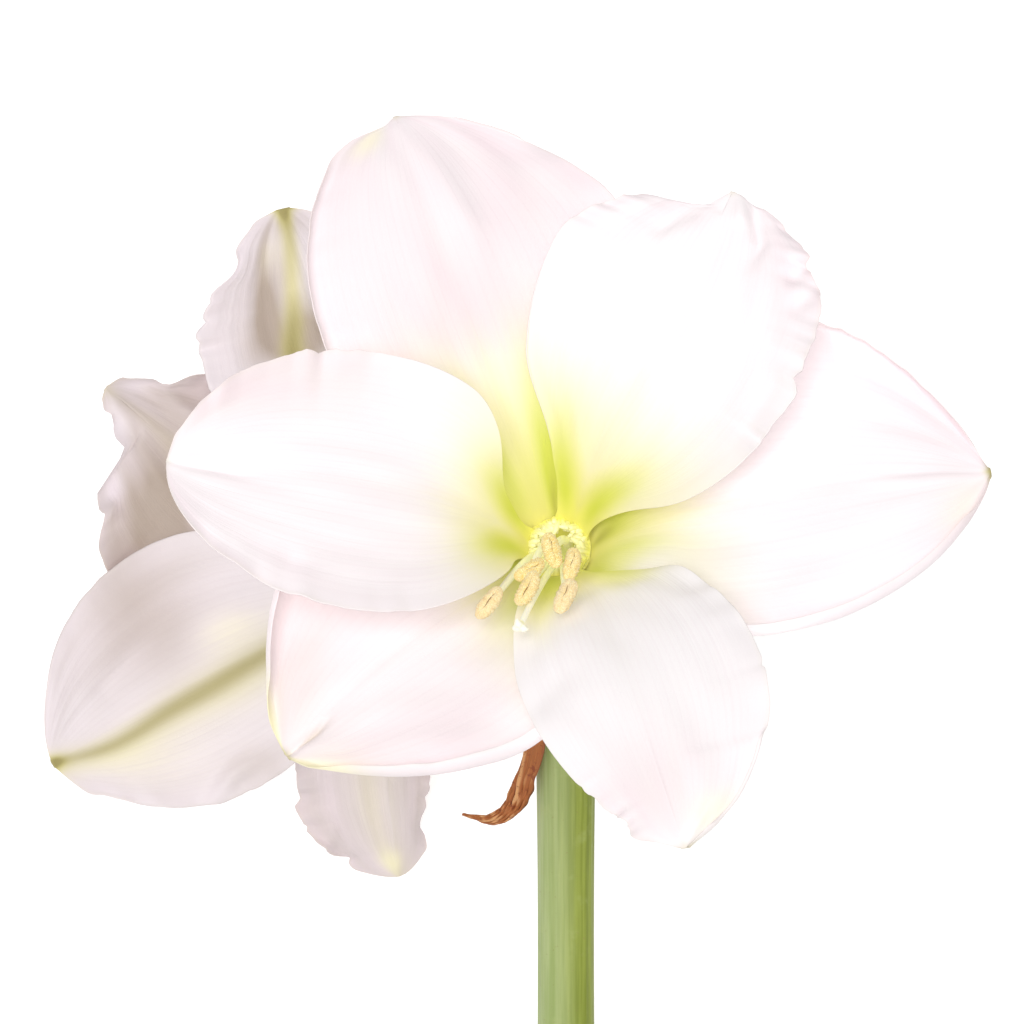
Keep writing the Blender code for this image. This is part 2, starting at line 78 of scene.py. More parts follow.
# Tepals. The blade is the solid's, and the other thicknesses are those of the finer shell. A grid's rows
# stand closer towards the tip and its columns closer towards the margins. Swells and veins come in over the
# half widths of BROADENING. FULL_SHARE is the share of the tube that a claw takes further out, and
# SIDES_APART the angle in radians between the waves of the margins. The last three are the shares of the
# half width that a cut and a roll can take, and the share of a stretch in which it eases in and out.
BLADE_THICKNESS = 0.0008
MARGIN_THICKNESS = 0.00028
MIDDLE_THICKNESS = 0.00055
ROW_CROWDING = 1.35
COLUMN_CROWDING = 0.4
TIP_HALF_WIDTH = 0.0006
CLAW_HALF_WIDTH = 0.014
RIB_HALF_WIDTH = 0.0022
RIB_THICKNESS = 0.0005
FOOT_THICKNESS = 0.0006
TIP_THICKNESS = 0.0010
TIP_SPREAD = 0.0014
VEIN_RIDGE = 0.00009
RIB_RIDGE = 0.0004
KEEL_DEPTH = 0.0008
KEEL_HALF_WIDTH = 0.004
CAMBER_REACH = 0.035
BROADENING = (0.004, 0.026)
MIDRIB_STEPS = 400
OPENING_AT = (0.0, 0.12, 0.3, 0.55, 0.8, 1.0)
FULL_SHARE = 0.96
SIDES_APART = 2.1
DEEPEST_CUT = 0.28
WIDEST_ROLL = 0.45
WINDOW_SOFTNESS = 0.18

# Veins of a tepal, the fine lines painted between them, and its slow swells: depth, waves along and across,
# and reach
VEINS = 7
VEIN_DEPTH = 0.00004
FINE_LINES = 17
SWELLS = ((0.0006, 2, 1, 1.2), (0.00018, 3, 2, 2.2))

# Whorls: the radius they stand on, the share of the tube that a claw takes, and its overlap at its foot
WHORLS = {
    "outer": dict(base_radius=0.0076, claw=0.95, overlap=1.12),
    "inner": dict(base_radius=0.0062, claw=0.62, overlap=1.25),
}

# Blooms. root is where the pedicel stands. hang scales how far the stamens and the style hang to the south
# of the bloom's compass, which is upside down in the back bloom. grid has the rows and columns of a tepal.
BLOOMS = {
    "front": dict(
        at=(-0.002, 0.040, 0.030), faces=(-0.08, 0.30, 0.95),
        root=(0.0005, SEAT_GAP, 0.0041), hang=1, grid=(120, 136), slot="petal_white",
    ),
    "back": dict(
        at=(-0.046, 0.036, -0.020), faces=(-0.25, -0.05, -0.95),
        root=(-0.0005, SEAT_GAP, -0.0041), hang=-0.7, grid=(96, 104), slot="petal_back_white",
    ),
}


def both(*numbers):
    """The same rim or frill on either side."""
    return ((-1, *numbers), (1, *numbers))


# The blush and beige of patches paint shade as well as tints, and a negative beige paints light.
# Each tepal. side is 1 for its left half and -1 for its right half. Stations run along it from 0 to 1, and
# shares go from -1 to 1 across it.
# azimuth: where it stands round the bloom's axis. sweep, bend: how its midrib turns aside, low and far out.
# opening: its lean from the axis at the stations of OPENING_AT. left, right: half width, the station where
# it is widest, and how pointed its tip is. camber, twist, lift: how its section curves, turns and rises.
# ruffle, scallop, waves, phase: height, depth, number and start of the margin's broad waves.
# reach, cream: how far out the throat's green and its cream run. tone: blush and beige, also painted shade.
# tip: its tint.
# halo: the glow beside the outer face's midrib and its spread. rib: station, share and strength along it.
# patches: station, share, length and width, then blush, beige and gold, at times also green and olive,
# these two painted shadow by the throat.
# waists: side, the stations where they begin, are full, ease and end, and the share that is drawn in.
# bites: side, station, length and depth of a dent in the margin, or of a swelling where negative.
# rims, rolled up: side, start, end, width and turn. frills: side, start, end, height, waves and teeth.
# folds: depth, width, and the stations and shares that they run through.
PLAIN_TEPAL = dict(
    ruffle=0, scallop=0, waves=0, phase=0, halo=(0.18, 2.0), rib=((0, 0, 0.3), (1, 0, 0.3)),
    patches=(), waists=(), bites=(), rims=(), folds=(),
)
TEPALS = {
    "front_tepal_outer_right": dict(
        azimuth=-6, sweep=9, bend=2, length=0.141, opening=(4, 15, 37, 72, 90, 102),
        left=(0.048, 0.58, 0.9), right=(0.0385, 0.57, 0.82), camber=4, twist=-4, lift=-0.0008,
        reach=0.58, cream=0.56, tone=(0.22, 0), tip=1,
        patches=(
            (0.94, -0.5, 0.07, 0.5, 0.1, 0.03, 0.2), (0.37, -0.6, 0.09, 0.4, 0, 0, -0.3),
            (0.24, -0.42, 0.07, 0.25, 0, 0, -0.14), (0.19, 0.1, 0.1, 0.15, 0, 0, 0.15, 0.85),
            (0.17, 0.12, 0.07, 0.13, 0, 0, 0, 0, 0.5), (0.36, 0.3, 0.08, 0.4, 0, 0, 0.16),
            (0.93, 0.7, 0.08, 0.4, 0.22, 0, 0.1),
        ),
        bites=((-1, 0.91, 0.07, -0.001),),
        rims=((-1, 0.36, 1.04, 0.0074, 168), (1, 0.7, 1, 0.003, 110)),
        frills=((1, 0.55, 0.95, 0.0008, 5, 0.0006), (-1, 0.5, 0.98, 0.0003, 4, 0.0002)),
        folds=(
            (-0.0003, 0.001, (1, 0), (0.86, 0.03), (0.74, 0.05)),
            (0.0006, 0.0018, (1, -0.1), (0.86, -0.05), (0.74, -0.01)),
        ),
    ),
    "front_tepal_inner_top": dict(
        azimuth=54, sweep=-4, bend=17, length=0.129, opening=(4, 12, 26, 58, 82, 98),
        left=(0.038, 0.74, 0.76), right=(0.041, 0.62, 0.58), camber=24, twist=-6, lift=-0.004,
        reach=0.52, cream=0.7, tone=(0.12, 0.01), tip=0.15,
        patches=((0.88, -0.8, 0.1, 0.4, 0.24, 0, 0), (0.93, 0.45, 0.05, 0.4, 0.18, 0.02, 0)),
        waists=((1, 0.1, 0.27, 0.33, 0.5, 0.27), (1, 0.938, 0.96, 1.2, 1.3, 0.74)),
        bites=(
            (1, 0.93, 0.03, -0.0008), (-1, 0.993, 0.004, 0.002), (-1, 0.955, 0.006, 0.0012),
            (-1, 0.912, 0.007, -0.0008), (-1, 0.895, 0.006, 0.0012), (-1, 0.84, 0.03, -0.0014),
            (-1, 0.79, 0.03, -0.0012), (-1, 0.714, 0.01, 0.0015), (-1, 0.688, 0.016, -0.0009),
            (-1, 0.45, 0.06, -0.002),
        ),
        rims=((1, 0.3, 0.7, 0.0012, 55),),
        frills=((-1, 0.55, 0.985, 0.0018, 6.5, 0.0011), (1, 0.8, 0.98, 0.001, 3, 0.0006)),
        folds=(
            (-0.0011, 0.0026, (0.93, 0.34), (0.9, 0.4), (0.84, 0.5)),
            (-0.002, 0.0022, (0.995, -1), (0.91, -0.48), (0.83, -0.38)),
            (0.001, 0.0024, (0.99, -0.55), (0.92, -0.2)),
            (-0.0018, 0.0026, (0.9, -1), (0.84, -0.66)),
            (-0.0014, 0.0026, (0.85, -1), (0.8, -0.72)),
        ),
    ),
    "front_tepal_outer_top": dict(
        azimuth=114, sweep=-4, bend=-2, length=0.145, opening=(4, 16, 40, 75, 92, 104),
        left=(0.038, 0.6, 0.67), right=(0.049, 0.58, 0.81), camber=-1, twist=6, lift=-0.0004,
        reach=0.58, cream=0.48, tone=(0.32, 0.03), tip=0.25,
        patches=(
            (0.95, 0.58, 0.045, 0.3, 0, 0.06, 0.3), (0.8, -0.55, 0.14, 0.24, 0.1, 0.06, 0),
            (0.54, 0.1, 0.14, 0.8, 0.25, 0.12, 0.04), (0.15, -0.37, 0.1, 0.15, 0, 0, 0.1, 0.75),
            (0.14, -0.38, 0.08, 0.09, 0, 0, 0, 0, 0.35), (0.24, 0.45, 0.07, 0.25, 0, 0, -0.12),
        ),
        waists=((1, 0.962, 0.985, 1.2, 1.3, 0.6),),
        bites=((1, 0.94, 0.032, -0.0022), (-1, 0.96, 0.03, -0.001), (-1, 0.71, 0.06, -0.001)),
        rims=((1, 0.42, 0.97, 0.0036, 75), (-1, 0.86, 0.97, 0.0012, 60)),
        frills=((1, 0.5, 0.95, 0.0004, 4, 0.0003), (-1, 0.5, 0.98, 0.0006, 3, 0.0003)),
        folds=(
            (-0.0013, 0.008, (0.985, -0.2), (0.9, -0.28), (0.83, -0.34), (0.735, -0.42), (0.66, -0.44)),
            (0.0012, 0.0038, (0.97, -0.02), (0.85, -0.15), (0.72, -0.19), (0.6, -0.16)),
        ),
    ),
    "front_tepal_inner_left": dict(
        azimuth=174, sweep=3, bend=-1, length=0.132, opening=(4, 12, 27, 59, 77, 86),
        left=(0.037, 0.59, 0.59), right=(0.0325, 0.63, 0.68), camber=3, twist=3.5, lift=0.006,
        reach=0.45, cream=0.6, tone=(0.18, 0), tip=0.15,
        patches=(
            (0.8, -0.8, 0.2, 0.35, 0.18, 0.16, 0), (0.3, 0.5, 0.08, 0.3, 0, 0, 0.1),
            (0.2, 0.12, 0.07, 0.3, 0, 0, -0.12),
        ),
        waists=((-1, 0.05, 0.2, 0.27, 0.46, 0.41),),
        bites=((-1, 0.988, 0.008, -0.0012),),
        frills=((-1, 0.55, 0.99, 0.0009, 4, 0.0008), (1, 0.5, 0.99, 0.0008, 4, 0.0006)),
        folds=(
            (-0.0007, 0.0012, (1, 0.1), (0.86, 0.1), (0.8, 0.08)),
            (0.0008, 0.0022, (0.99, 0), (0.86, -0.12), (0.8, -0.14)),
            (-0.0008, 0.003, (0.78, 1), (0.72, 0.6)),
        ),
    ),
    "front_tepal_outer_left": dict(
        azimuth=234, sweep=-11, bend=-1, length=0.1215, opening=(4, 14, 31, 64, 86, 103),
        left=(0.0435, 0.53, 0.89), right=(0.0445, 0.58, 0.9), camber=2, twist=7.5, lift=-0.0004,
        reach=0.6, cream=0.56, tone=(0.2, 0.02), tip=0.5,
        patches=(
            (0.86, -0.45, 0.22, 0.34, 0.13, 0.23, 0), (0.97, -0.95, 0.07, 0.3, 0, 0.16, 0.46),
            (0.97, 0.9, 0.07, 0.3, 0, 0.16, 0.42), (0.8, 0.6, 0.2, 0.35, 0.18, 0.08, 0.04),
            (0.94, 0.05, 0.05, 0.05, 0, 0.36, 0.1), (0.93, 0.4, 0.08, 0.5, 0.1, 0.08, 0.1),
        ),
        waists=((-1, 0.7, 0.8, 0.9, 0.98, 0.09),),
        bites=((-1, 0.975, 0.015, -0.0012), (1, 0.97, 0.02, -0.0016)),
        rims=((-1, 0.4, 1.02, 0.0095, 168), (1, 0.42, 1.02, 0.0085, 168)),
        frills=both(0.5, 0.98, 0.0004, 4, 0.0002),
        folds=(
            (-0.0018, 0.0013, (1, 0), (0.92, 0.06), (0.86, 0.05)),
            (0.0005, 0.0022, (0.9, 0.04), (0.66, 0.03), (0.52, 0.02)),
        ),
    ),
    "front_tepal_inner_bottom": dict(
        azimuth=294, sweep=-3, bend=-6, length=0.1465, opening=(4, 14, 30, 49, 71, 89),
        left=(0.0315, 0.69, 0.72), right=(0.0265, 0.57, 0.71), camber=9, twist=11, lift=-0.006,
        reach=0.52, cream=0.54, tone=(0, 0), tip=0.2,
        patches=(
            (0.9, -0.2, 0.1, 0.7, 0.5, 0.12, 0.06), (0.96, 0.6, 0.04, 0.4, 0, 0.06, 0.24),
            (0.5, 0.5, 0.1, 0.22, 0, 0, -0.3), (0.44, -0.38, 0.08, 0.25, 0, 0, -0.22),
        ),
        waists=((1, 0.1, 0.2, 0.26, 0.46, 0.7),),
        bites=(
            (-1, 0.957, 0.018, -0.0024), (-1, 0.912, 0.007, 0.0006), (-1, 0.85, 0.01, 0.0006),
            (1, 0.985, 0.012, -0.003), (1, 0.95, 0.03, -0.0008), (1, 0.8, 0.06, -0.0006),
            (1, 0.74, 0.006, 0.0008),
        ),
        rims=((1, 0.84, 1.02, 0.0032, 150),),
        frills=((-1, 0.8, 0.995, 0.001, 4, 0.0009), (1, 0.45, 0.98, 0.0008, 3, 0.0004)),
        folds=(
            (-0.0008, 0.0014, (1, 0.25), (0.93, 0.6)), (-0.0008, 0.006, (0.62, -0.95), (0.58, -0.35)),
        ),
    ),
    "back_tepal_outer_top": dict(
        azimuth=-94, sweep=-11, bend=0, length=0.153, opening=(4, 17, 40, 69, 84, 94),
        left=(0.038, 0.6, 0.75), right=(0.04, 0.64, 0.68), camber=-1, twist=0, lift=-0.001,
        ruffle=0.0025, scallop=0.0015, waves=4, phase=0,
        reach=0.45, cream=0.5, tone=(0.1, 0), tip=1, halo=(0.62, 1),
        rib=(
            (0, -0.16, 0.8), (0.7, -0.22, 1), (0.76, -0.16, 0.8), (0.83, -0.1, 0.12),
            (0.95, 0, 0.6), (1, 0.03, 0.9),
        ),
        patches=(
            (0.84, -0.36, 0.11, 0.23, 0, 0.84, 0.06), (0.72, -0.18, 0.08, 0.38, 0, 1, 0.02),
            (0.92, -0.2, 0.06, 0.3, 0, 0.05, 0.12), (0.915, -0.42, 0.04, 0.14, 0, 0.3, 0.06),
            (0.9, 0.5, 0.1, 0.4, 0.05, 0.15, 0.05), (0.975, 0, 0.03, 0.7, 0, 0.45, 0),
        ),
        bites=(
            (-1, 0.987, 0.012, -0.002), (-1, 0.895, 0.032, 0.005), (-1, 0.858, 0.008, -0.0008),
            (-1, 0.835, 0.006, 0.0012), (-1, 0.775, 0.012, -0.0014), (-1, 0.8, 0.005, 0.0012),
            (1, 0.985, 0.016, -0.0026),
        ),
        rims=both(0.5, 0.97, 0.0014, 50),
        frills=((-1, 0.45, 0.97, 0.0014, 7, 0.0008), (1, 0.45, 0.97, 0.0012, 6, 0.0008)),
        folds=((0.0007, 0.0044, (0.89, -0.34), (0.8, -0.36), (0.64, -0.34)),),
    ),
    "back_tepal_inner_left": dict(
        azimuth=-154, sweep=14, bend=-3, length=0.138, opening=(4, 12, 31, 62, 83, 98),
        left=(0.031, 0.61, 0.78), right=(0.05, 0.6, 1), camber=2, twist=4, lift=0.0025,
        ruffle=0.0035, scallop=0.003, waves=4, phase=115,
        reach=0.42, cream=0.5, tone=(0.3, 0.3), tip=0.1, halo=(0.05, 2),
        rib=((0, 0, 0.1), (1, 0, 0.1)),
        patches=(
            (0.84, -0.1, 0.14, 0.3, 0, 0.4, 0.05), (0.7, -0.5, 0.1, 0.5, 0.45, 0.88, 0),
            (0.84, 0.5, 0.1, 0.35, 0.05, 0.3, 0), (0.93, -0.3, 0.05, 0.2, 0, -0.5, 0),
            (0.78, -0.4, 0.06, 0.22, 0, 0.35, 0.03), (0.84, -0.72, 0.025, 0.14, 0, -0.45, 0),
            (0.95, 0.6, 0.03, 0.3, 0, -0.3, 0),
        ),
        waists=((-1, 0.862, 0.875, 0.95, 0.988, 0.52),),
        bites=(
            (1, 0.985, 0.012, -0.0016), (1, 0.893, 0.02, 0.0034), (1, 0.8, 0.05, -0.004),
            (-1, 0.992, 0.006, -0.0012), (-1, 0.818, 0.01, 0.0022), (-1, 0.778, 0.022, -0.0022),
        ),
        frills=both(0.45, 0.99, 0.0022, 5, 0.0008),
        folds=(
            (-0.003, 0.0044, (0.96, -0.4), (0.88, -0.26), (0.76, -0.3), (0.68, -0.34)),
            (-0.0022, 0.0036, (0.92, 0.8), (0.84, 0.46), (0.74, 0.4)),
            (-0.0022, 0.003, (0.83, -1), (0.8, -0.66)),
            (0.0026, 0.01, (0.62, -1), (0.5, -0.95), (0.34, -0.9)),
        ),
    ),
    "back_tepal_outer_left": dict(
        azimuth=-214, sweep=6, bend=-3, length=0.144, opening=(4, 16, 38, 68, 88, 102),
        left=(0.0445, 0.6, 0.72), right=(0.039, 0.62, 0.77), camber=-1, twist=1, lift=-0.0005,
        ruffle=0.001, scallop=0, waves=4, phase=0,
        reach=0.45, cream=0.5, tone=(0.06, 0.06), tip=1, halo=(0.42, 2),
        rib=(
            (0, -0.05, 0.8), (0.5, -0.08, 0.8), (0.6, -0.1, 0.82), (0.73, -0.12, 0.8),
            (0.89, -0.18, 0.7), (0.95, -0.13, 0.55), (1, 0, 0.7),
        ),
        patches=(
            (0.67, 0.62, 0.14, 0.45, 0.2, 0.62, 0), (0.52, 0.22, 0.1, 0.2, 0, 0.05, 0.22),
            (0.8, -0.5, 0.2, 0.4, 0, 0.1, 0.15), (0.6, -0.85, 0.08, 0.18, 0, 0.32, 0.04),
            (0.86, -0.3, 0.1, 0.3, 0, 0.05, 0.1),
        ),
        bites=((-1, 0.965, 0.02, -0.0026), (-1, 0.72, 0.02, -0.0006)),
        rims=both(0.5, 0.97, 0.0012, 50),
        frills=both(0.5, 0.98, 0.0006, 4, 0.0003),
        folds=(
            (-0.0022, 0.003, (0.74, -1), (0.66, -0.8), (0.56, -0.78)),
            (0.001, 0.004, (0.82, 0.35), (0.72, 0.42), (0.62, 0.4)),
        ),
    ),
    "back_tepal_inner_bottom": dict(
        azimuth=-274, sweep=-5, bend=-2, length=0.135, opening=(4, 13, 30, 57, 73, 81),
        left=(0.031, 0.72, 0.62), right=(0.02, 0.65, 0.5), camber=-1, twist=-2, lift=0.0022,
        ruffle=0.0025, scallop=0.002, waves=4, phase=57,
        reach=0.42, cream=0.5, tone=(0.34, 0.21), tip=0.1, halo=(0.14, 2.4),
        rib=((0, 0, 0.2), (0.75, 0.21, 0.16), (0.93, 0.18, 0.06), (0.978, 0.05, 0.05), (1, 0, 0.05)),
        patches=(
            (0.965, 0.08, 0.045, 0.36, 0, 0.06, 0.28), (0.82, 0.2, 0.14, 0.18, 0, -0.1, 0.14),
            (0.8, -0.6, 0.12, 0.3, 0.1, 0.25, 0), (0.8, 0.85, 0.2, 0.3, 0, 0.12, 0),
        ),
        waists=((-1, 0.6, 0.8, 0.88, 0.94, 0.2),),
        bites=(
            (1, 0.93, 0.012, 0.0034), (1, 0.885, 0.006, 0.0008), (1, 0.835, 0.006, 0.0014),
            (1, 0.773, 0.014, 0.0016), (1, 0.965, 0.01, -0.0006), (-1, 0.955, 0.02, -0.001),
        ),
        frills=((-1, 0.5, 0.99, 0.0016, 6, 0.0008), (1, 0.5, 0.99, 0.0018, 6, 0.001)),
        folds=((-0.0012, 0.0026, (0.9, 1), (0.82, 0.6)),),
    ),
    "back_tepal_outer_right": dict(
        azimuth=-334, sweep=-20, bend=0, length=0.147, opening=(4, 16, 38, 67, 81, 90),
        left=(0.031, 0.68, 0.7), right=(0.035, 0.6, 0.75), camber=0, twist=0, lift=-0.001,
        ruffle=0.0015, scallop=0, waves=3, phase=57,
        reach=0.45, cream=0.5, tone=(0.3, 0.2), tip=0.6,
        rims=both(0.5, 0.97, 0.0016, 60),
        frills=both(0.5, 0.98, 0.0008, 5, 0.0005),
    ),
    "back_tepal_inner_right": dict(
        azimuth=-34, sweep=2, bend=0, length=0.138, opening=(4, 13, 32, 62, 78, 86),
        left=(0.034, 0.64, 0.6), right=(0.032, 0.64, 0.6), camber=0, twist=3, lift=0.0015,
        ruffle=0.0025, scallop=0.0015, waves=4, phase=0,
        reach=0.42, cream=0.5, tone=(0.3, 0.2), tip=0.3,
        frills=both(0.5, 0.99, 0.0016, 6, 0.001),
        folds=((-0.0012, 0.003, (0.9, 1), (0.8, 0.6)),),
    ),
}

# Pedicels, each with its ovary: distance before the bloom's origin, and radius there
PEDICEL_RADIUS = 0.0037
OVARY_PROFILE = (
    (0.0170, 0.0040), (0.0130, 0.0054), (0.0090, 0.0065),
    (0.0050, 0.0066), (0.0022, 0.0070), (SEAT_GAP, 0.0082),
)
OVARY_MIDDLE = 0.0075
OVARY_SPREAD = 0.0062
PEDICEL_SWELL = 0.0003
PEDICEL_FOOT = 0.001
PEDICEL_RISE = 0.014
PEDICEL_SUNK = 0.0018
PEDICEL_FLARE = 0.0006
PEDICEL_SIDES = 64

# Stamens in the bloom's own compass: east, south and height of each anther, and the angle of its long axis
STAMENS = (
    (0.0059, 0.0159, 0.0513, 80),
    (0.0009, 0.0125, 0.0528, 105),
    (-0.0047, 0.0179, 0.0536, 35),
    (-0.0145, 0.0278, 0.0586, 52),
    (-0.0049, 0.0240, 0.0580, 60),
    (0.0049, 0.0272, 0.0615, 66),
)

# Filaments, anthers, the disc at the tube's foot, the style with its stigma, and the throat's fringed ring.
# Each grid is the number of points along and round.
FIRST_FILAMENT_ANGLE = -5
FILAMENT_RING = 0.0042
FILAMENT_RISE = 0.42
FILAMENT_RADII = (0.00140, 0.00125, 0.00115, 0.00100, 0.00075, 0.00040)
FILAMENT_GRID = (48, 18)
ANTHER_SIZE = (0.0042, 0.0097, 0.0036)
ANTHER_SEAT = 0.42
ANTHER_GRID = (44, 60)
DISC_HEIGHT = 0.0016
DISC_RADII = (0.0048, 0.0051, 0.0050, 0.0044)
DISC_GRID = (8, 36)
STIGMA_AT = (-0.0066, 0.0360, 0.0659)
STYLE_RADII = (0.0010, 0.0009, 0.0009, 0.00085, 0.0008, 0.0009, 0.0011)
STYLE_GRID = (64, 20)
STYLE_LEAN = 0.3
STYLE_RISE = 0.7
LOBE_RADII = (0.0008, 0.0009, 0.00100, 0.00100, 0.0008, 0.00025)
LOBE_GRID = (22, 16)
LOBE_ANGLES = (90, 210, 330)
LOBE_SETBACK = 0.0008
LOBE_ROOT = 0.0014
LOBE_RISE = 0.0010
LOBE_SPREAD = 0.0021
LOBE_DROOP = 0.0002
FRILL_HEIGHT = 0.0140
FRILL_FOOT = 0.0018
FRILL_WIDTH = 0.0026
FRILL_RADIUS = 0.0093
FRILL_NARROWING = 0.0024
FRILL_THICKNESS = 0.00044
FRILL_GRID = (9, 181)
FINGERS = 72
FINGER_LENGTHS = (0.0030, 0.0058)
FINGER_HEIGHTS = (-0.0014, 0.0010)
FINGER_RING = 0.0083
FINGER_RADII = (0.00085, 0.00075, 0.00078, 0.00085, 0.00035)
FINGER_GRID = (12, 10)

# Spathe, two dried valves: points of each middle line, the width and the radius of the roll along it
BRACT_THICKNESS = 0.00035
BRACT_GRID = (120, 48)
TORN_SHARE = 0.09
PLEAT_DEPTH = 0.00010
CRUMPLE_DEPTH = 0.00030
CURL_DEPTH = 0.0005
CREASE_DEPTH = 0.0007
RAISED_PER_METRE = 1500
BRACTS = {
    "spathe_bract_left": dict(
        line=((-0.0097, -0.0030, 0.0028), (-0.0112, -0.0130, 0.0036), (-0.0134, -0.0225, 0.0044),
              (-0.0150, -0.0285, 0.0042), (-0.0182, -0.0326, 0.0034), (-0.0222, -0.0343, 0.0022),
              (-0.0262, -0.0338, 0.0008), (-0.0299, -0.0330, -0.0005)),
        width=(0.0150, 0.0150, 0.0100, 0.0072, 0.0054, 0.0034, 0.0013, 0.0004),
        roll=(0.0101, 0.0085, 0.0055, 0.0040, 0.0030, 0.0024, 0.0020, 0.0020),
        outside=((-0.96, 0, 0.28), (-0.45, 0, 0.89)),
    ),
    "spathe_bract_right": dict(
        line=((0.0074, -0.0030, -0.0064), (0.0080, -0.0080, -0.0076), (0.0092, -0.0130, -0.0100),
              (0.0108, -0.0172, -0.0136), (0.0124, -0.0200, -0.0180), (0.0134, -0.0212, -0.0226)),
        width=(0.0140, 0.0125, 0.0105, 0.0080, 0.0048, 0.0006),
        roll=(0.0101, 0.0088, 0.0046, 0.0030, 0.0026, 0.0026),
        outside=((0.76, 0, -0.65), (0.76, 0, -0.65)),
    ),
}

# Colours of the petals: light, dark, line, blushed and a beige, the last two also painted shade
PETAL_LOOKS = {
    "front": (
        "petal_satin",
        (252, 248, 248), (250, 244, 245), (243, 228, 233), (241, 217, 224), (190, 173, 156),
    ),
    # The back bloom's colours are darker all over: painted shade, for that bloom lies in shade
    "back": (
        "petal_outside",
        (236, 228, 232), (230, 220, 224), (216, 202, 208), (222, 204, 211), (176, 160, 148),
    ),
}

# Colours of the stems: shaded and lit, each from green to a darker yellow that paints shade on one side,
# and the streaks
STALK_LOOKS = (
    "stalk_green", ((158, 172, 90), (146, 158, 72)), ((188, 196, 118), (178, 186, 98)), (172, 184, 104),
)
SCAPE_LOOKS = (
    "scape_wax", ((150, 166, 102), (120, 132, 38)), ((172, 184, 130), (150, 162, 70)), (136, 150, 66),
)

# Light
WORLD_STRENGTH = 0.42
KEY_AT = (-0.42, -0.16, 2.1)
KEY_AIM = (0, 0.1, 0.1)
KEY_SIZE = 1.3
KEY_POWER = 17
FILL_STRENGTH = 1.15
FILL_ANGLE = 60
FLOOR_GLOW = 0.20
FLOOR_REACH = 4.0

# Seeds of the random draws. The tepals have 0 to 11.
STAMEN_SEED = 20
FRILL_SEED = 30
PEDICEL_SEED = 40
SCAPE_SEED = 50
BRACT_SEED = 60


# Geometry


def unit(vectors):
    return vectors / np.linalg.norm(vectors, axis=-1, keepdims=True)


def ease(x, start, end):
    """0 before start, 1 past end, and an S curve between them."""
    t = np.clip((x - start) / (end - start), 0, 1)
    return t * t * (3 - 2 * t)


def together(*fields):
    """Arrays of matching shapes, and plain numbers, side by side in the last axis of one array."""
    return np.stack(np.broadcast_arrays(*fields), axis=-1)


def turns(count):
    """The angles of even steps round a circle."""
    return np.linspace(0, math.tau, count, endpoint=False)


def square_to(axis, vector):
    """The unit vector square to an axis that is nearest to a vector."""
    return unit(vector - vector @ axis * axis)


def hump(x, middle, width):
    return np.exp(-(((x - middle) / width) ** 2))


def through(stations, values, x):
    """A smooth curve through the given values, read at x."""
    stations = np.asarray(stations, float)
    values = np.asarray(values, float)
    slopes = np.diff(values) / np.diff(stations)
    slopes = np.concatenate((slopes[:1], (slopes[1:] + slopes[:-1]) / 2, slopes[-1:]))
    i = np.clip(np.searchsorted(stations, x, side="right") - 1, 0, len(stations) - 2)
    width = stations[i + 1] - stations[i]
    t = (x - stations[i]) / width
    ends = (1 + 2 * t) * (1 - t) ** 2 * values[i] + t * t * (3 - 2 * t) * values[i + 1]
    return ends + width * t * (1 - t) * ((1 - t) * slopes[i] - t * slopes[i + 1])


def in_row(points):
    """Points of the head's frame in the frame of the CAD model."""
    x, y, z = np.moveaxis(np.asarray(points, float), -1, 0)
    return together(x, UP[2] * y - UP[1] * z, UP[1] * y + UP[2] * z) + np.array(HEAD_AT)


def compass(bloom):
    """The bloom's origin, its axis out of its mouth, and the east and north of its face."""
    axis = unit(np.array(bloom["faces"]))
    east = unit(np.array((1, 0, 0)) - axis[0] * axis)
    return np.array(bloom["at"]), axis, east, np.cross(axis, east)


def lifted_off_surface(points, clearance):
    """Points bent up smoothly, so that none comes nearer to the surface than the clearance."""
    height = points @ UP + HEAD_AT[2] - clearance
    soft = (height + PRESS_DEPTH) ** 2 / (4 * PRESS_DEPTH)
    lifted = np.where(height > PRESS_DEPTH, height, np.where(height < -PRESS_DEPTH, 0, soft))
    return points + (lifted - height)[..., None] * UP


def wander(random, x, y, reach, count=7):
    """Smooth chance waves over x and y, about -1 to 1, with up to reach waves per unit."""
    total = 0
    for _ in range(count):
        across, along = random.uniform(-reach, reach, 2)
        total = total + np.cos(math.tau * (across * x + along * y) + random.uniform(0, math.tau))
    return total / math.sqrt(count)


def grid_normals(grid):
    normals = np.cross(np.gradient(grid, axis=0), np.gradient(grid, axis=1))
    return normals / np.maximum(np.linalg.norm(normals, axis=-1, keepdims=True), 1e-12)


def put_in_scene(name, data):
    thing = bpy.data.objects.new(name, data)
    bpy.context.scene.collection.objects.link(thing)
    return thing


def quads(ids):
    """Faces over a grid of vertex numbers, seen from the side that rows and then columns turn about."""
    corners = (ids[:-1, :-1], ids[1:, :-1], ids[1:, 1:], ids[:-1, 1:])
    return np.stack([corner.ravel() for corner in corners], axis=-1)


def make_piece(name, points, faces, fields, material, slot, nodes=()):
    """A mesh of the head's frame as a piece that rides on the flower and stands for the nodes."""
    mesh = bpy.data.meshes.new(name)
    laid = in_row(points.reshape(-1, 3))
    laid[:, 2] = np.maximum(laid[:, 2], FLOOR_CLEARANCE)
    mesh.from_pydata(laid.tolist(), [], faces)
    for field, values in fields.items():
        attribute = mesh.attributes.new(field, "FLOAT_VECTOR", "POINT")
        attribute.data.foreach_set("vector", values.reshape(-1).astype(np.float32))
    mesh.materials.append(material)
    mesh.shade_smooth()
    piece = put_in_scene(name, mesh)
    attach(piece, "root")
    if nodes:
        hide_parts(*nodes)


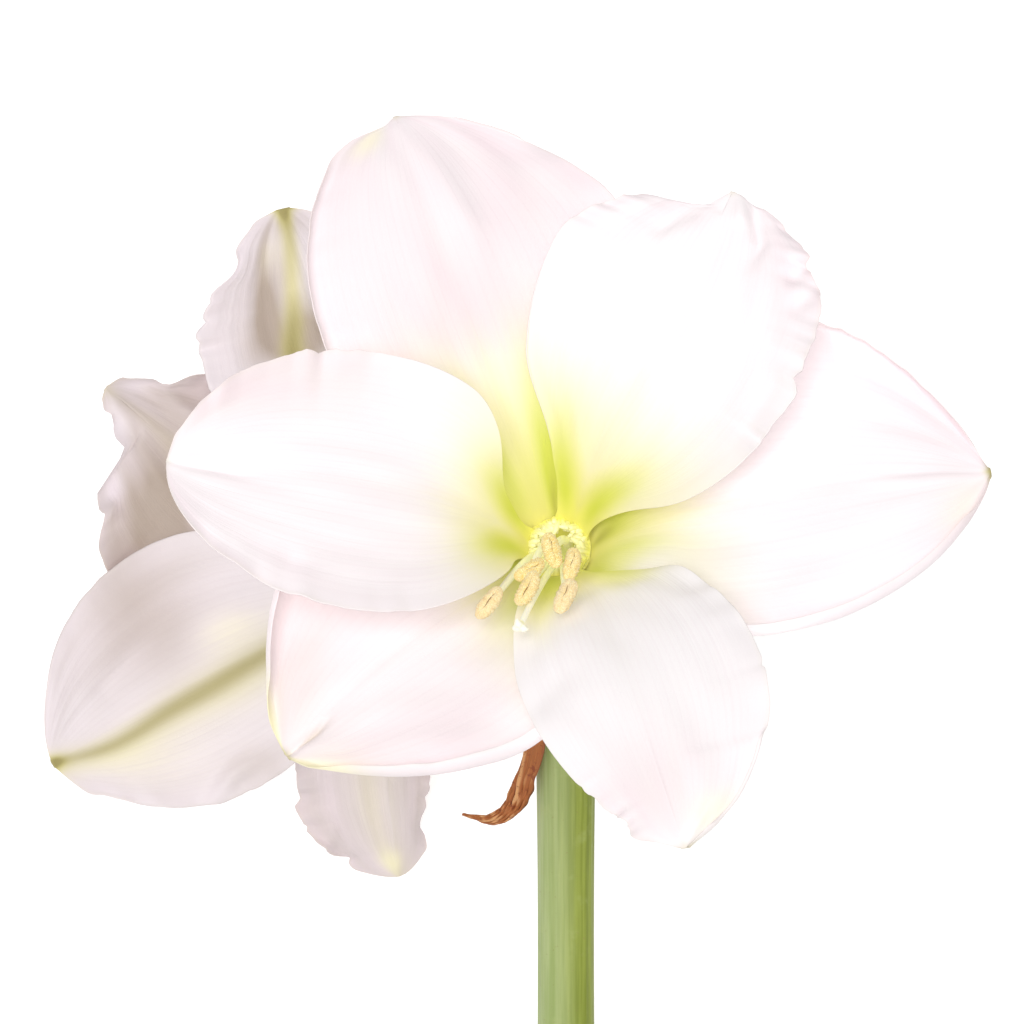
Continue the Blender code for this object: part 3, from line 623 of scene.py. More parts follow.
def shell_faces(rows, columns):
    """Faces of a blade of two grids, upper and lower, closed round its edge."""
    ids = np.arange(rows * columns).reshape(rows, columns)
    edge = np.concatenate((ids[:-1, 0], ids[-1, :-1], ids[:0:-1, -1], ids[0, :0:-1]))
    following = np.roll(edge, -1)
    rim = np.stack((following, edge, edge + ids.size, following + ids.size), axis=-1)
    return np.concatenate((quads(ids), quads(ids)[:, ::-1] + ids.size, rim)).tolist()


# Tepals


def midrib(bloom, tepal, stations):
    """The midrib's points, its frame (across, up), its distance from the bloom's axis and its lean."""
    origin, axis, east, north = compass(bloom)
    fine = np.linspace(0, 1, MIDRIB_STEPS + 1)
    lean = np.radians(through(OPENING_AT, tepal["opening"], fine))[:, None]
    heading = tepal["azimuth"] + tepal["sweep"] * ease(fine, 0.05, 0.6) + tepal["bend"] * ease(fine, 0.4, 1)
    heading = np.radians(heading)[:, None]
    outward = np.cos(heading) * east + np.sin(heading) * north
    along = np.cos(lean) * axis + np.sin(lean) * outward
    across = np.cos(heading) * north - np.sin(heading) * east
    steps = (along[1:] + along[:-1]) / 2 * tepal["length"] / MIDRIB_STEPS
    points = origin + tepal["base_radius"] * outward[0] + np.vstack((np.zeros(3), np.cumsum(steps, axis=0)))

    def at_stations(values):
        return np.stack([np.interp(stations, fine, column) for column in values.T], axis=-1)

    points = at_stations(points)
    along = unit(at_stations(along))
    up = unit(np.cross(along, at_stations(across)))
    across = np.cross(up, along)
    twist = np.radians(tepal["twist"]) * ease(stations, 0.3, 0.9)[:, None]
    across, up = np.cos(twist) * across + np.sin(twist) * up, np.cos(twist) * up - np.sin(twist) * across
    radius = np.linalg.norm(np.cross(points - origin, axis), axis=1)
    return points, across, up, radius, np.interp(stations, fine, lean[:, 0])


def outline(stations, half):
    """Half width along the tepal, widest at its own station."""
    width, widest, pointed = half
    rise = np.sin(np.clip(stations / widest, 0, 1) * math.pi / 2) ** 1.25
    fall = np.clip((stations - widest) / (1 - widest), 0, 1) ** 2.2
    return width * np.where(stations < widest, rise, (1 - fall) ** pointed)


def window(u, start, end):
    """1 between two stations, eased in and out."""
    soft = WINDOW_SOFTNESS * (end - start)
    return ease(u, start, start + soft) * ease(-u, -end, -end + soft)


def tepal_width(tepal, u, v, radius, upright):
    """Half width of a tepal at each point, and what the waists took from it."""
    claw = tepal["claw"] + (FULL_SHARE - tepal["claw"]) * ease(u, 0.14, 0.42)
    claw = claw * (tepal["overlap"] + (1 - tepal["overlap"]) * ease(u, 0.06, 0.16))
    limit = claw * math.pi / 3 * radius / np.maximum(upright, 0.15)
    half = np.where(v < 0, outline(u, tepal["right"]), outline(u, tepal["left"]))
    half = np.maximum(half, CLAW_HALF_WIDTH * (1 - ease(u, 0.10, 0.24)))
    half = (half**-4 + limit**-4) ** -0.25
    whole = half
    for side, begins, full, eases, ends, share in tepal["waists"]:
        drawn = share * ease(u, begins, full) * (1 - ease(u, eases, ends))
        half = half * (1 - drawn * (v * side > 0))
    knob = TIP_HALF_WIDTH * tepal["tip"] * hump((1 - u) * tepal["length"], 0, 0.0012)
    half = np.maximum(half, TIP_HALF_WIDTH + knob)
    return half, np.maximum(whole - half, 0)


def margin(tepal, u, v, random):
    """How deep scallops, bites and teeth cut into the margin, and how its broad waves and frills rise."""
    waved = ease(u, 0.3, 0.6) * ease(1 - u, 0, 0.12)
    wave = math.tau * tepal["waves"] * u + np.radians(tepal["phase"]) + np.where(v < 0, SIDES_APART, 0)
    cut = tepal["scallop"] * waved * (1 + np.cos(wave)) / 2
    for side, station, long, depth in tepal["bites"]:
        cut += depth * hump(u, station, long) * (v * side > 0)
    frill = 0 * v
    for side, start, end, height, waves, teeth in tepal["frills"]:
        here = window(u, start, end) * (v * side > 0)
        phase = random.uniform(0, math.tau, 4)
        along = math.tau * waves * (u - start) / (end - start)
        uneven = along + 1.1 * np.sin(along * 0.57 + phase[0])
        strength = 0.65 + 0.35 * np.sin(0.43 * along + phase[3])
        frill += here * height * strength * (np.sin(uneven + phase[1]) + 0.4 * np.sin(2.3 * along))
        tooth = 0.5 + 0.5 * np.sin(1.4 * uneven + phase[2])
        cut += here * teeth * strength * (tooth**2 + 0.16 * np.sin(5.3 * uneven + phase[0]))
    ruffle = tepal["ruffle"] * np.abs(v) ** 3 * waved * np.sin(wave)
    return cut, ruffle, frill * np.abs(v) ** 5


def rolled_rims(tepal, u, v, half):
    """The half width, widened by what the rolls of the rims take, and the angle that they turn up by."""
    roll = 0 * v
    for side, start, end, width, turn in tepal["rims"]:
        here = window(u, start, end) * (v * side > 0)
        angle = math.radians(turn) * here
        rolled = np.minimum(width * np.sqrt(here), WIDEST_ROLL * half) + 1e-9
        reach = rolled * np.sin(np.minimum(angle, math.pi / 2)) / np.maximum(angle, 1e-3)
        half = half + np.where(here > 0, rolled - np.minimum(reach, rolled), 0)
        inside = (np.abs(v) * half - (half - rolled)) / rolled
        roll += side * angle * np.clip(inside, 0, 1)
    return half, roll


def from_middle(values, side):
    """The integral of values over each row, counted from the row's middle."""
    steps = (values[:, 1:] + values[:, :-1]) / 2 * np.diff(side, axis=1)
    total = np.concatenate((np.zeros((len(values), 1)), np.cumsum(steps, axis=1)), axis=1)
    middle = total.shape[1] // 2
    return total - total[:, middle : middle + 1]


def near_path(flat, path):
    """How far each point is from a line through the path's points, and how far along the line, 0 to 1."""
    path = np.array(path)
    lengths = np.linalg.norm(np.diff(path, axis=0), axis=1)
    begins = np.concatenate(((0,), np.cumsum(lengths)[:-1]))
    best = np.full(flat.shape[:2], 1e9)
    place = np.zeros(flat.shape[:2])
    for start, end, length, begin in zip(path, path[1:], lengths, begins):
        t = np.clip((flat - start) @ (end - start) / length**2, 0, 1)
        distance = np.linalg.norm(flat - start - t[..., None] * (end - start), axis=-1)
        nearer = distance < best
        best = np.where(nearer, distance, best)
        place = np.where(nearer, (begin + t * length) / lengths.sum(), place)
    return best, place


def tepal_grid(bloom, tepal, random):
    """Middle surface of a tepal with its rims, frills, folds and veins. With it come its stations u, its
    shares v of the half width, the half width, and what the waists took from it."""
    rows, columns = bloom["grid"]
    u = 1 - (1 - np.linspace(0, 1, rows + 1)) ** ROW_CROWDING
    v = np.sin(np.linspace(-1, 1, columns + 1) * COLUMN_CROWDING * math.pi)
    v = v / math.sin(COLUMN_CROWDING * math.pi)
    points, across, up, radius, lean = midrib(bloom, tepal, u)
    u, radius, lean = u[:, None], radius[:, None], lean[:, None]
    v = v[None, :] + 0 * u
    upright = np.cos(lean)
    half, spared = tepal_width(tepal, u, v, radius, upright)
    cut, ruffle, frill = margin(tepal, u, v, random)
    half, roll = rolled_rims(tepal, u, v, half)
    # Section: wrapped round the tube near the claw, cambered further out
    side = v * half - np.minimum(cut, DEEPEST_CUT * half) * np.sign(v) * np.abs(v) ** 3
    curve = upright / radius * (1 - ease(u, 0.35, 0.7))
    curve = curve + math.radians(tepal["camber"]) / CAMBER_REACH * ease(u, 0.25, 0.6)
    turned = curve * side + roll
    height = from_middle(np.sin(turned), side)
    height += ruffle
    height += tepal["lift"] * v**2 * ease(u, 0.15, 0.5) * ease(half, 0, 0.020)
    height -= KEEL_DEPTH * np.exp(-((side / KEEL_HALF_WIDTH) ** 2)) * ease(u, 0.1, 0.3)
    height += frill
    # Folds, slow swells and the main veins
    flat = together(u * tepal["length"], side)
    for depth, width, *path in tepal["folds"]:
        line = []
        for station, share in path:
            widest = tepal["left"] if share > 0 else tepal["right"]
            line.append((station * tepal["length"], share * outline(np.array(station), widest)))
        distance, place = near_path(flat, line)
        height += depth * hump(distance, 0, width) * ease(1 - place, 0, 0.45)
    open_part = ease(u, 0.28, 0.5)
    broad_part = ease(half, *BROADENING)
    for depth, waves_along, waves_across, reach in SWELLS:
        height += depth * wander(random, waves_along * u, waves_across * v, reach) * open_part * broad_part
    share = v * half / (half + spared)
    veins = 0.5 + 0.5 * np.cos(math.tau * VEINS * share + 0.5 * wander(random, u, v, 1.5))
    height -= VEIN_DEPTH * veins**3 * ease(u, 0.1, 0.3) * ease(1 - np.abs(v), 0.02, 0.12) * broad_part
    side = from_middle(np.cos(turned), side)
    grid = points[:, None] + side[..., None] * across[:, None] + height[..., None] * up[:, None]
    return lifted_off_surface(grid, BLADE_THICKNESS / 2), u + 0 * v, v, half, spared


def tepal_paint(tepal, outer, inside, u, v, half, random):
    """Shares of colour over one face of a tepal: (throat, green, rim) and (blush, beige, rib). Blush and
    beige also paint shade, and rib also paints the olive shadow by the throat.
    """
    away = np.abs(v)
    from_tip = (1 - u) * tepal["length"]
    stations, shares, strengths = zip(*tepal["rib"])
    across = (v - through(stations, shares, u)) * half
    reach = tepal["reach"]
    if inside:
        if outer:
            bands = 1 - 0.30 * away
            band = 0.12 + 0.88 * ease(away, 0.08, 0.25 + 0.3 * ease(-u, -0.35, -0.10))
        else:
            bands = 0.86 + 0.26 * hump(away, 0.5, 0.30) - 0.05 * hump(v, 0, 0.16)
            band = hump(away, 0.55, 0.30)
        throat = (0.84 if outer else 1) * (1 - ease(u, 0.30 * reach * bands, 1.08 * reach * bands))
        throat = np.maximum(throat, 0.40 * (1 - ease(u, 0.5 * tepal["cream"], tepal["cream"])))
        green = band * (1 - ease(u, 0.22, 1.05 * reach)) * ease(u, 0.10, 0.24)
        rib = 0.06 * hump(across, 0, RIB_HALF_WIDTH) * (1 - ease(u, 0.4, 0.9))
        rib += 0.9 * tepal["tip"] * hump(from_tip, 0, 0.0011)
        halo = 0
    else:
        throat = 1 - ease(u, 0.10, 0.42)
        wide = 0.0042 - 0.0020 * ease(u, 0.5, 1)
        green = 0.30 * hump(across, 0, 2.6 * wide) * (1 - ease(u, 0.2, 0.7)) + 0.45 * (1 - ease(u, 0, 0.22))
        glow, spread = tepal["halo"]
        rib = np.interp(u, stations, strengths) * hump(across, 0, wide) * ease(u, 0.0, 0.12)
        halo = glow * hump(across, -0.4 * wide * (spread > 1), spread * wide) * ease(u, 0.3, 0.6)
        rib += 0.9 * tepal["tip"] * hump(from_tip, 0, 0.0030) * hump(across, 0, TIP_SPREAD)
    spot = 0.0016 if inside else 0.0040
    tip = hump(from_tip, 0, spot) * hump(across, 0, 0.6 * spot)
    margin = 1 - ease((1 - away) * half, 0.0, 0.0016)
    rim = 0.8 * tepal["tip"] * tip + halo + 0.06 * margin * ease(u, 0.25, 0.9)
    # Blush and beige are the tepal's own pink and tan, and also painted shade where the tones darken a
    # tepal
    blush, beige = tepal["tone"]
    blush = blush * ease(u, 0.15, 0.55) + 0.18 * ease(u, 0.5, 1) * ease(away, 0.3, 1)
    # Patches tint the tepal. They also paint shade with blush and beige, light with a negative beige, and
    # the shadow by the throat with a deeper green and the olive share
    for station, share, long, wide, *tints in tepal["patches"]:
        here = hump(u, station, long) * hump(v, share, wide)
        pink_and_shade, dried, gold, green_and_shade, olive_shadow = (*tints, 0, 0)[:5]
        blush = blush + pink_and_shade * here
        beige = beige + dried * here
        throat = throat + gold * here
        green = green * (1 + 2.5 * min(gold, 0) * here) + green_and_shade * here
        rib = rib + olive_shadow * here
    cloud = 1 + 0.22 * wander(random, 2 * u, 1.5 * v, 2.5)
    tint = together(throat, green, rim)
    shade = together(blush * cloud, beige * (2 - cloud), rib)
    return np.clip(tint, 0, 1), np.clip(shade, 0, 1)


def build_tepal(name, tepal, material, seed):
    """A shell round the tepal's middle surface, thicker at its midrib and tip and ribbed underneath."""
    random = np.random.default_rng(seed)
    bloom_name, _, whorl, _ = name.split("_")
    bloom = BLOOMS[bloom_name]
    tepal = {**PLAIN_TEPAL, **WHORLS[whorl], **tepal}
    middle, u, v, half, spared = tepal_grid(bloom, tepal, random)
    inward = 1 - np.abs(v)
    across = v * half
    share = across / (half + spared)
    rib = hump(across, 0, RIB_HALF_WIDTH)
    knob = (0.2 + 0.8 * tepal["tip"]) * hump((1 - u) * tepal["length"], 0, 0.0018)
    thickness = MARGIN_THICKNESS + (MIDDLE_THICKNESS - MARGIN_THICKNESS) * ease(inward, 0.0, 0.35)
    thickness += RIB_THICKNESS * rib * (1 - ease(u, 0.25, 0.95))
    thickness += FOOT_THICKNESS * hump(u, 0, 0.08)
    thickness += TIP_THICKNESS * knob * hump(across, 0, TIP_SPREAD)
    fine = ease(half, *BROADENING) * ease(inward, 0, 0.3)
    ribbed = VEIN_RIDGE * fine * (0.5 + 0.5 * np.cos(math.tau * VEINS * share)) ** 3
    ribbed += RIB_RIDGE * rib * (1 - ease(u, 0.3, 1))
    normals = grid_normals(middle)
    upper = middle + normals * (thickness / 2)[..., None]
    lower = middle - normals * (thickness / 2 + ribbed)[..., None]
    points = np.stack((upper, lower))
    place = together(u, share, fine)
    fields = {"petal": np.stack((place, place))}
    faces = (True, False)
    paints = [tepal_paint(tepal, whorl == "outer", face, u, share, half + spared, random) for face in faces]
    fields["tint"], fields["shade"] = (np.stack(field) for field in zip(*paints))
    make_piece(name + "_petal", points, shell_faces(*u.shape), fields, material, bloom["slot"], (name,))


# Stalks, stamens and style


def sideways(line):
    """Two directions square to a line at each of its points, which don't spin round it."""
    along = unit(np.gradient(line, axis=0))
    first = np.array((0, 0, 1)) if abs(along[0][2]) < 0.9 else np.array((1, 0, 0))
    side = square_to(along[0], first)
    sides = []
    for direction in along:
        side = square_to(direction, side)
        sides.append(side)
    return np.array(sides), np.cross(along, sides)


def sweep(line, radii, angles):
    """A grid of points round a line: a row for each point of it and a column for each angle."""
    sides, others = sideways(line)
    ring = np.cos(angles)[:, None] * sides[:, None] + np.sin(angles)[:, None] * others[:, None]
    return line[:, None] + radii[..., None] * ring


def closed_faces(rows, columns):
    """Faces of a tube of grid points, its rows joined round and its two ends capped."""
    ids = np.arange(rows * columns).reshape(rows, columns)
    ids = np.concatenate((ids, ids[:, :1]), axis=1)
    return quads(ids)[:, ::-1].tolist() + [ids[0, :-1].tolist(), ids[-1, -2::-1].tolist()]


def joined(parts):
    """Several (points, faces, field) meshes as one, its field named place."""
    points, faces, fields, first = [], [], [], 0
    for part_points, part_faces, part_field in parts:
        points.append(part_points.reshape(-1, 3))
        faces += [[first + corner for corner in face] for face in part_faces]
        fields.append(part_field.reshape(-1, 3))
        first += len(points[-1])
    return np.concatenate(points), faces, {"place": np.concatenate(fields)}


def bezier(start, first, second, end, count):
    t = np.linspace(0, 1, count)[:, None]
    return (1 - t) ** 3 * start + 3 * t * (1 - t) ** 2 * first + 3 * t * t * (1 - t) * second + t**3 * end


def reaching(start, leaves, rise, end, count):
    """The line of a filament or style: it rises along its first direction, then bends out to its end."""
    control = start + rise * np.linalg.norm(end - start) * leaves
    return bezier(start, control, end, end, count)


def compass_point(bloom, east_distance, south_distance, height):
    origin, axis, east, north = compass(bloom)
    return origin + east_distance * east - bloom["hang"] * south_distance * north + height * axis


def tube_part(line, radii, sides):
    """A tapered tube along a line, with (station, turn, 0) as its field."""
    stations = np.linspace(0, 1, len(line))
    radii = through(np.linspace(0, 1, len(radii)), radii, stations)
    grid = sweep(line, radii[:, None], turns(sides))
    field = together(stations[:, None], turns(sides) / math.tau, 0.0)
    return grid, closed_faces(len(line), sides), field


def anther_part(centre, along, facing, random):
    """A two-lobed pollen sac, slightly bent, split down its face, and its (along, groove, tone) field."""
    rows, columns = ANTHER_GRID
    width, length, depth = np.array(ANTHER_SIZE) / 2 * random.uniform(0.93, 1.07)
    facing = square_to(along, facing)
    t = np.linspace(-0.998, 0.998, rows)[:, None]
    angle = turns(columns)
    blunt = (1 - np.abs(t) ** 2.8) ** 0.5
    swerve = 0.16 * np.sin(2.4 * t + random.uniform(0, 6)) + 0.10 * np.sin(7 * t + random.uniform(0, 6))
    front = np.abs(np.angle(np.exp(1j * (angle - math.pi / 2 - swerve))))
    rear = np.abs(np.angle(np.exp(1j * (angle + math.pi / 2))))
    gape = 0.15 + 0.06 * np.sin(4 * t + random.uniform(0, 6))
    groove = np.exp(-((front / gape) ** 2)) * (1 - t**4)
    lobes = 0.10 * np.abs(np.cos(angle - swerve)) ** 1.5
    radius = blunt * (0.94 + lobes - 0.26 * groove - 0.16 * np.exp(-((rear / 0.45) ** 2)))
    radius = radius * (1 + 0.035 * wander(random, 2 * t, angle / math.tau * 2, 2))
    radius = radius * (1 + 0.075 * wander(random, 9 * t, angle / math.tau * 5, 2))
    radius = radius * (1 + random.uniform(-0.05, 0.05, radius.shape))
    lean = random.uniform(-0.0006, 0.0006) * (1 - 2 * t**2)
    x = width * radius * np.cos(angle) + lean
    z = depth * radius * np.sin(angle) + 0.0006 * (1 - t**2)
    points = centre + x[..., None] * np.cross(along, facing) + (length * t)[..., None] * along
    field = together(t, groove, random.uniform(0, 1))
    return points + z[..., None] * facing, closed_faces(rows, columns), field


def build_stamens(name, bloom, filament, anther, seed):
    """Six tapered filaments with their anthers, on a low disc at the foot of the tube."""
    random = np.random.default_rng(seed)
    origin, axis, east, north = compass(bloom)
    filaments, anthers = [], []
    for i, (out_east, out_south, height, turn) in enumerate(STAMENS):
        angle = math.radians(FIRST_FILAMENT_ANGLE + 60 * i)
        ring = (FILAMENT_RING * math.cos(angle), -FILAMENT_RING * math.sin(angle))
        start = compass_point(bloom, *ring, SEAT_GAP + DISC_HEIGHT / 2)
        end = compass_point(bloom, out_east, out_south, height)
        line = reaching(start, unit(axis), FILAMENT_RISE, end, FILAMENT_GRID[0])
        filaments.append(tube_part(line, FILAMENT_RADII, FILAMENT_GRID[1]))
        turn = math.radians(turn)
        along = math.cos(turn) * east + bloom["hang"] * math.sin(turn) * north
        along = unit(along + random.uniform(-0.16, 0.16) * axis)
        facing = unit(axis + random.uniform(-0.35, 0.35) * np.cross(axis, along))
        anthers.append(anther_part(end + ANTHER_SEAT * ANTHER_SIZE[2] * axis, along, facing, random))
    rows, columns = DISC_GRID
    heights = np.linspace(SEAT_GAP, SEAT_GAP + DISC_HEIGHT, rows)
    disc, faces, field = tube_part(origin + heights[:, None] * axis, DISC_RADII, columns)
    filaments.append((disc, faces, 0 * field))
    nodes = (name + "_stamens",)
    make_piece(name + "_filaments", *joined(filaments), filament, "style_cream", nodes)
    make_piece(name + "_anthers", *joined(anthers), anther, "anther_cream", nodes)


def build_style(name, bloom, material):
    """The style, with three short recurved stigma lobes."""
    _, axis, east, north = compass(bloom)
    start = compass_point(bloom, 0, 0, 2 * SEAT_GAP + DISC_HEIGHT)
    end = compass_point(bloom, *STIGMA_AT)
    rows, columns = STYLE_GRID
    leaves = unit(axis - STYLE_LEAN * bloom["hang"] * north)
    line = reaching(start, leaves, STYLE_RISE, end, rows)
    parts = [tube_part(line, STYLE_RADII, columns)]
    ahead = unit(line[-1] - line[-6])
    end = end - LOBE_SETBACK * ahead
    root = end - LOBE_ROOT * ahead
    rows, columns = LOBE_GRID
    for angle in np.radians(LOBE_ANGLES):
        spread = square_to(ahead, math.cos(angle) * east + math.sin(angle) * north)
        curl = end + LOBE_RISE * ahead + LOBE_RISE * spread
        tip = end - LOBE_DROOP * ahead + LOBE_SPREAD * spread
        lobe = bezier(root, root + LOBE_ROOT * ahead, curl, tip, rows)
        parts.append(tube_part(lobe, LOBE_RADII, columns))
    make_piece(name + "_style_piece", *joined(parts), material, "style_cream", (name + "_style",))


def build_frill(name, bloom, material, seed):
    """The fringed ring inside the tube's mouth: a low wavy band on the wall, with small curled fingers."""
    random = np.random.default_rng(seed)
    origin, axis, east, north = compass(bloom)
    rows, columns = FRILL_GRID
    turn = np.linspace(0, math.tau, columns)[None, :]
    rise = np.linspace(0, 1, rows)[:, None]
    wavy = 1 + 0.25 * wander(random, rise, turn / math.tau * 3, 6) * rise
    reach = FRILL_RADIUS - FRILL_NARROWING * rise**1.5 * wavy
    height = FRILL_HEIGHT - FRILL_FOOT + FRILL_WIDTH * rise * wavy
    outward = np.cos(turn)[..., None] * east + np.sin(turn)[..., None] * north
    band = origin + height[..., None] * axis + reach[..., None] * outward
    normals = grid_normals(band)
    shell = np.stack((band + FRILL_THICKNESS / 2 * normals, band - FRILL_THICKNESS / 2 * normals))
    field = together(0.5 * rise, turn / math.tau, 0.0)
    parts = [(shell, shell_faces(rows, columns), np.stack((field, field)))]
    turn = math.tau * np.arange(FINGERS) / FINGERS
    clumps = 1 + 0.35 * np.cos(5 * turn + 1) + 0.25 * np.cos(9 * turn)
    for angle, clump in zip(turn + random.uniform(-0.02, 0.02, FINGERS), clumps):
        outward = math.cos(angle) * east + math.sin(angle) * north
        length = random.uniform(*FINGER_LENGTHS) * (0.5 + 0.5 * clump)
        root = origin + (FRILL_HEIGHT + random.uniform(*FINGER_HEIGHTS)) * axis + FINGER_RING * outward
        sway = random.uniform(-0.6, 0.6) * np.cross(axis, outward)
        lean = unit(axis - 0.8 * outward + 0.3 * sway)
        curl = unit(random.uniform(0.2, 1.1) * axis - random.uniform(0.6, 1.2) * outward + sway)
        first, second = (root + share * length * lean for share in (0.4, 0.7))
        line = bezier(root, first, second, root + length * curl, FINGER_GRID[0])
        parts.append(tube_part(line, FINGER_RADII, FINGER_GRID[1]))
    make_piece(name + "_frill", *joined(parts), material, "petal_white")


def build_pedicel(name, bloom, material, seed):
    """The bloom's stalk with its three-lobed ovary, one smooth sweep."""
    random = np.random.default_rng(seed)
    origin, axis, _, _ = compass(bloom)
    known, swelling = zip(*OVARY_PROFILE[::-1])
    root = np.array(bloom["root"])
    foot = root + np.array((0, PEDICEL_FOOT, 0))
    rise = foot + np.array((0, PEDICEL_RISE, 0))
    top = origin - known[-1] * axis
    stalk = bezier(foot, rise, top - PEDICEL_RISE * axis, top, 60)
    distances = np.linspace(known[-1], SEAT_GAP, 46)[1:]
    ovary = origin - distances[:, None] * axis
    line = np.concatenate(([root - np.array((0, PEDICEL_SUNK, 0))], stalk, ovary))
    below = len(stalk) + 1
    radii = np.concatenate((np.full(below, PEDICEL_RADIUS), through(known, swelling, distances)))
    radii[:below] += PEDICEL_SWELL * ease(np.arange(below), below - 15, below - 1)
    radii[:6] += PEDICEL_FLARE * (1 - ease(np.arange(6), 0, 5))
    angles = turns(PEDICEL_SIDES)
    lobed = np.concatenate((np.zeros(below), hump(distances, OVARY_MIDDLE, OVARY_SPREAD)))[:, None]
    length = np.linspace(0, 1, len(line))[:, None]
    ripple = 0.5 * lobed * (0.13 * np.cos(3 * angles) + 0.05 * np.cos(6 * angles))
    ripple += 0.010 * wander(random, 2 * length, angles / math.tau * 2, 2)
    grid = sweep(line, radii[:, None] * (1 - 0.03 * lobed + ripple), angles)
    fields = {"place": together(length, angles / math.tau, 0.0)}
    faces = closed_faces(len(line), PEDICEL_SIDES)
    make_piece(name + "_stalk", grid, faces, fields, material, "scape_green", (name + "_pedicel",))


# Scape and spathe


def build_scape(material, seed):
    """The scape with faint ridges, its hollow, and the pale pith of the cut end."""
    random = np.random.default_rng(seed)
    bore_top = SCAPE_TOP_RADIUS - SCAPE_WALL
    bore_cut = SCAPE_CUT_RADIUS - SCAPE_WALL
    # Profile, as (radius, height) from the crown down the shaft, over the cut and up the bore
    upper, lower = np.linspace(-0.0135, -0.06, 26), np.linspace(-0.062, 0.0006 - SCAPE_LENGTH, 150)
    heights = np.concatenate((upper, lower))
    known = (-SCAPE_LENGTH, -0.6 * SCAPE_LENGTH, -0.0160, -0.0130)
    radii = (SCAPE_CUT_RADIUS, SCAPE_CUT_RADIUS - 0.0003, SCAPE_TOP_RADIUS, 0.00878)
    shaft = list(zip(through(known, radii, heights), heights))
    cut = [(SCAPE_CUT_RADIUS - 0.0002, 0.0001 - SCAPE_LENGTH), (SCAPE_CUT_RADIUS - 0.0006, -SCAPE_LENGTH)]
    across_cut = np.linspace(SCAPE_CUT_RADIUS - 0.0010, bore_cut + 0.0003, 9)
    cut += [(radius, -SCAPE_LENGTH) for radius in across_cut]
    bore = [(bore_cut, 0.0004 - SCAPE_LENGTH)]
    for share in np.linspace(0.01, 1, 50):
        height = -SCAPE_LENGTH + share * (SCAPE_LENGTH - SCAPE_SOLID_TOP - 0.010)
        bore.append((bore_cut + share * (bore_top - bore_cut), height))
    bore += [(0.6 * bore_top, -SCAPE_SOLID_TOP - 0.002), (0.0002, -SCAPE_SOLID_TOP)]
    profile = np.array([*SCAPE_CROWN, *shaft, *cut, *bore])
    angles = turns(SCAPE_SIDES)[None, :]
    radii = profile[:, :1] + 0 * angles
    heights = profile[:, 1:] + 0 * angles
    # Parts of the profile, and the unevenness of each
    count = np.arange(len(profile))[:, None]
    shaft_at = len(SCAPE_CROWN)
    cut_at = shaft_at + len(shaft)
    bore_at = cut_at + len(cut)
    on_shaft = ease(count, shaft_at - 2, shaft_at + 6) * (count < cut_at)
    ridges = sum(
        np.cos(n * angles + phase + 2 * np.sin(9 * heights + phase))
        for n, phase in zip(SCAPE_RIDGES, random.uniform(0, math.tau, 4))
    )
    radii += on_shaft * (RIDGE_HEIGHT * (ridges - 2.5))
    inner = count >= bore_at
    radii += inner * BORE_ROUGHNESS * wander(random, heights * 60, np.sin(angles), 1.5)
    face = (count >= cut_at + 1) * (count < bore_at)
    heights += face * CUT_ROUGHNESS * (0.6 + wander(random, radii * 900, angles, 1.2))
    points = together(radii * np.cos(angles), heights, SCAPE_FLATNESS * radii * np.sin(angles))
    pith = face * (1 - ease(radii, SCAPE_CUT_RADIUS - 0.0014, SCAPE_CUT_RADIUS - 0.0004)) + inner
    fields = {"place": together(-heights / SCAPE_LENGTH, angles / math.tau, pith)}
    faces = closed_faces(len(profile), SCAPE_SIDES)
    make_piece("scape_skin", points, faces, fields, material, "scape_green", ("scape",))


def build_bract(name, bract, material, seed):
    """A dried papery valve: pleated along its length, wrinkled, with a torn and curled margin."""
    random = np.random.default_rng(seed)
    rows, columns = BRACT_GRID
    line = np.array(bract["line"])
    stations = np.linspace(0, 1, len(line))
    u = np.linspace(0, 1, rows + 1)
    centre = np.stack([through(stations, line[:, i], u) for i in range(3)], axis=-1)
    along = unit(np.gradient(centre, axis=0))
    first, last = np.array(bract["outside"])
    outside = first + ease(u, 0.1, 0.5)[:, None] * (last - first)
    outside = unit(outside - (along * outside).sum(axis=1, keepdims=True) * along)
    across = np.cross(along, outside)
    width = through(stations, bract["width"], u)[:, None]
    roll = through(stations, bract["roll"], u)[:, None]
    u = u[:, None]
    v = np.linspace(-1, 1, columns + 1)[None, :]
    torn = 1 - TORN_SHARE * ease(u, 0.15, 0.4) * np.abs(wander(random, 5 * u, v, 1.6)) * np.abs(v) ** 4
    angle = 0.5 * v * torn * width / roll
    loose = ease(u, 0.12, 0.35)
    wrinkle = PLEAT_DEPTH * np.cos(math.tau * 2.5 * v + 1.2 * np.sin(7 * u)) * loose
    wrinkle += CRUMPLE_DEPTH * wander(random, 5 * u, 1.6 * v, 1.8) * loose
    wrinkle += CURL_DEPTH * np.abs(v) ** 3 * np.sin(17 * u + 2 * np.sign(v)) * loose * ease(1 - u, 0, 0.2)
    fold = window(u, 0.08, 0.50) * (hump(v, -0.3 * u, 0.20) - 2.0 * hump(v, 0.36 - 0.4 * u, 0.10))
    fold += 0.8 * window(u, 0.56, 0.80) * hump(v, -0.1, 0.3)
    wrinkle += CREASE_DEPTH * fold
    side = (np.sin(angle) * roll)[..., None] * across[:, None]
    depth = ((1 - np.cos(angle)) * roll - wrinkle)[..., None] * outside[:, None]
    middle = centre[:, None] + side - depth
    lift = grid_normals(middle) * BRACT_THICKNESS / 2
    place = together(u, v, wrinkle * RAISED_PER_METRE)
    points = np.stack((middle + lift, middle - lift))
    faces = shell_faces(rows + 1, columns + 1)
    fields = {"place": np.stack((place, place))}
    make_piece(name + "_blade", points, faces, fields, material, "spathe_brown", (name,))


# Materials


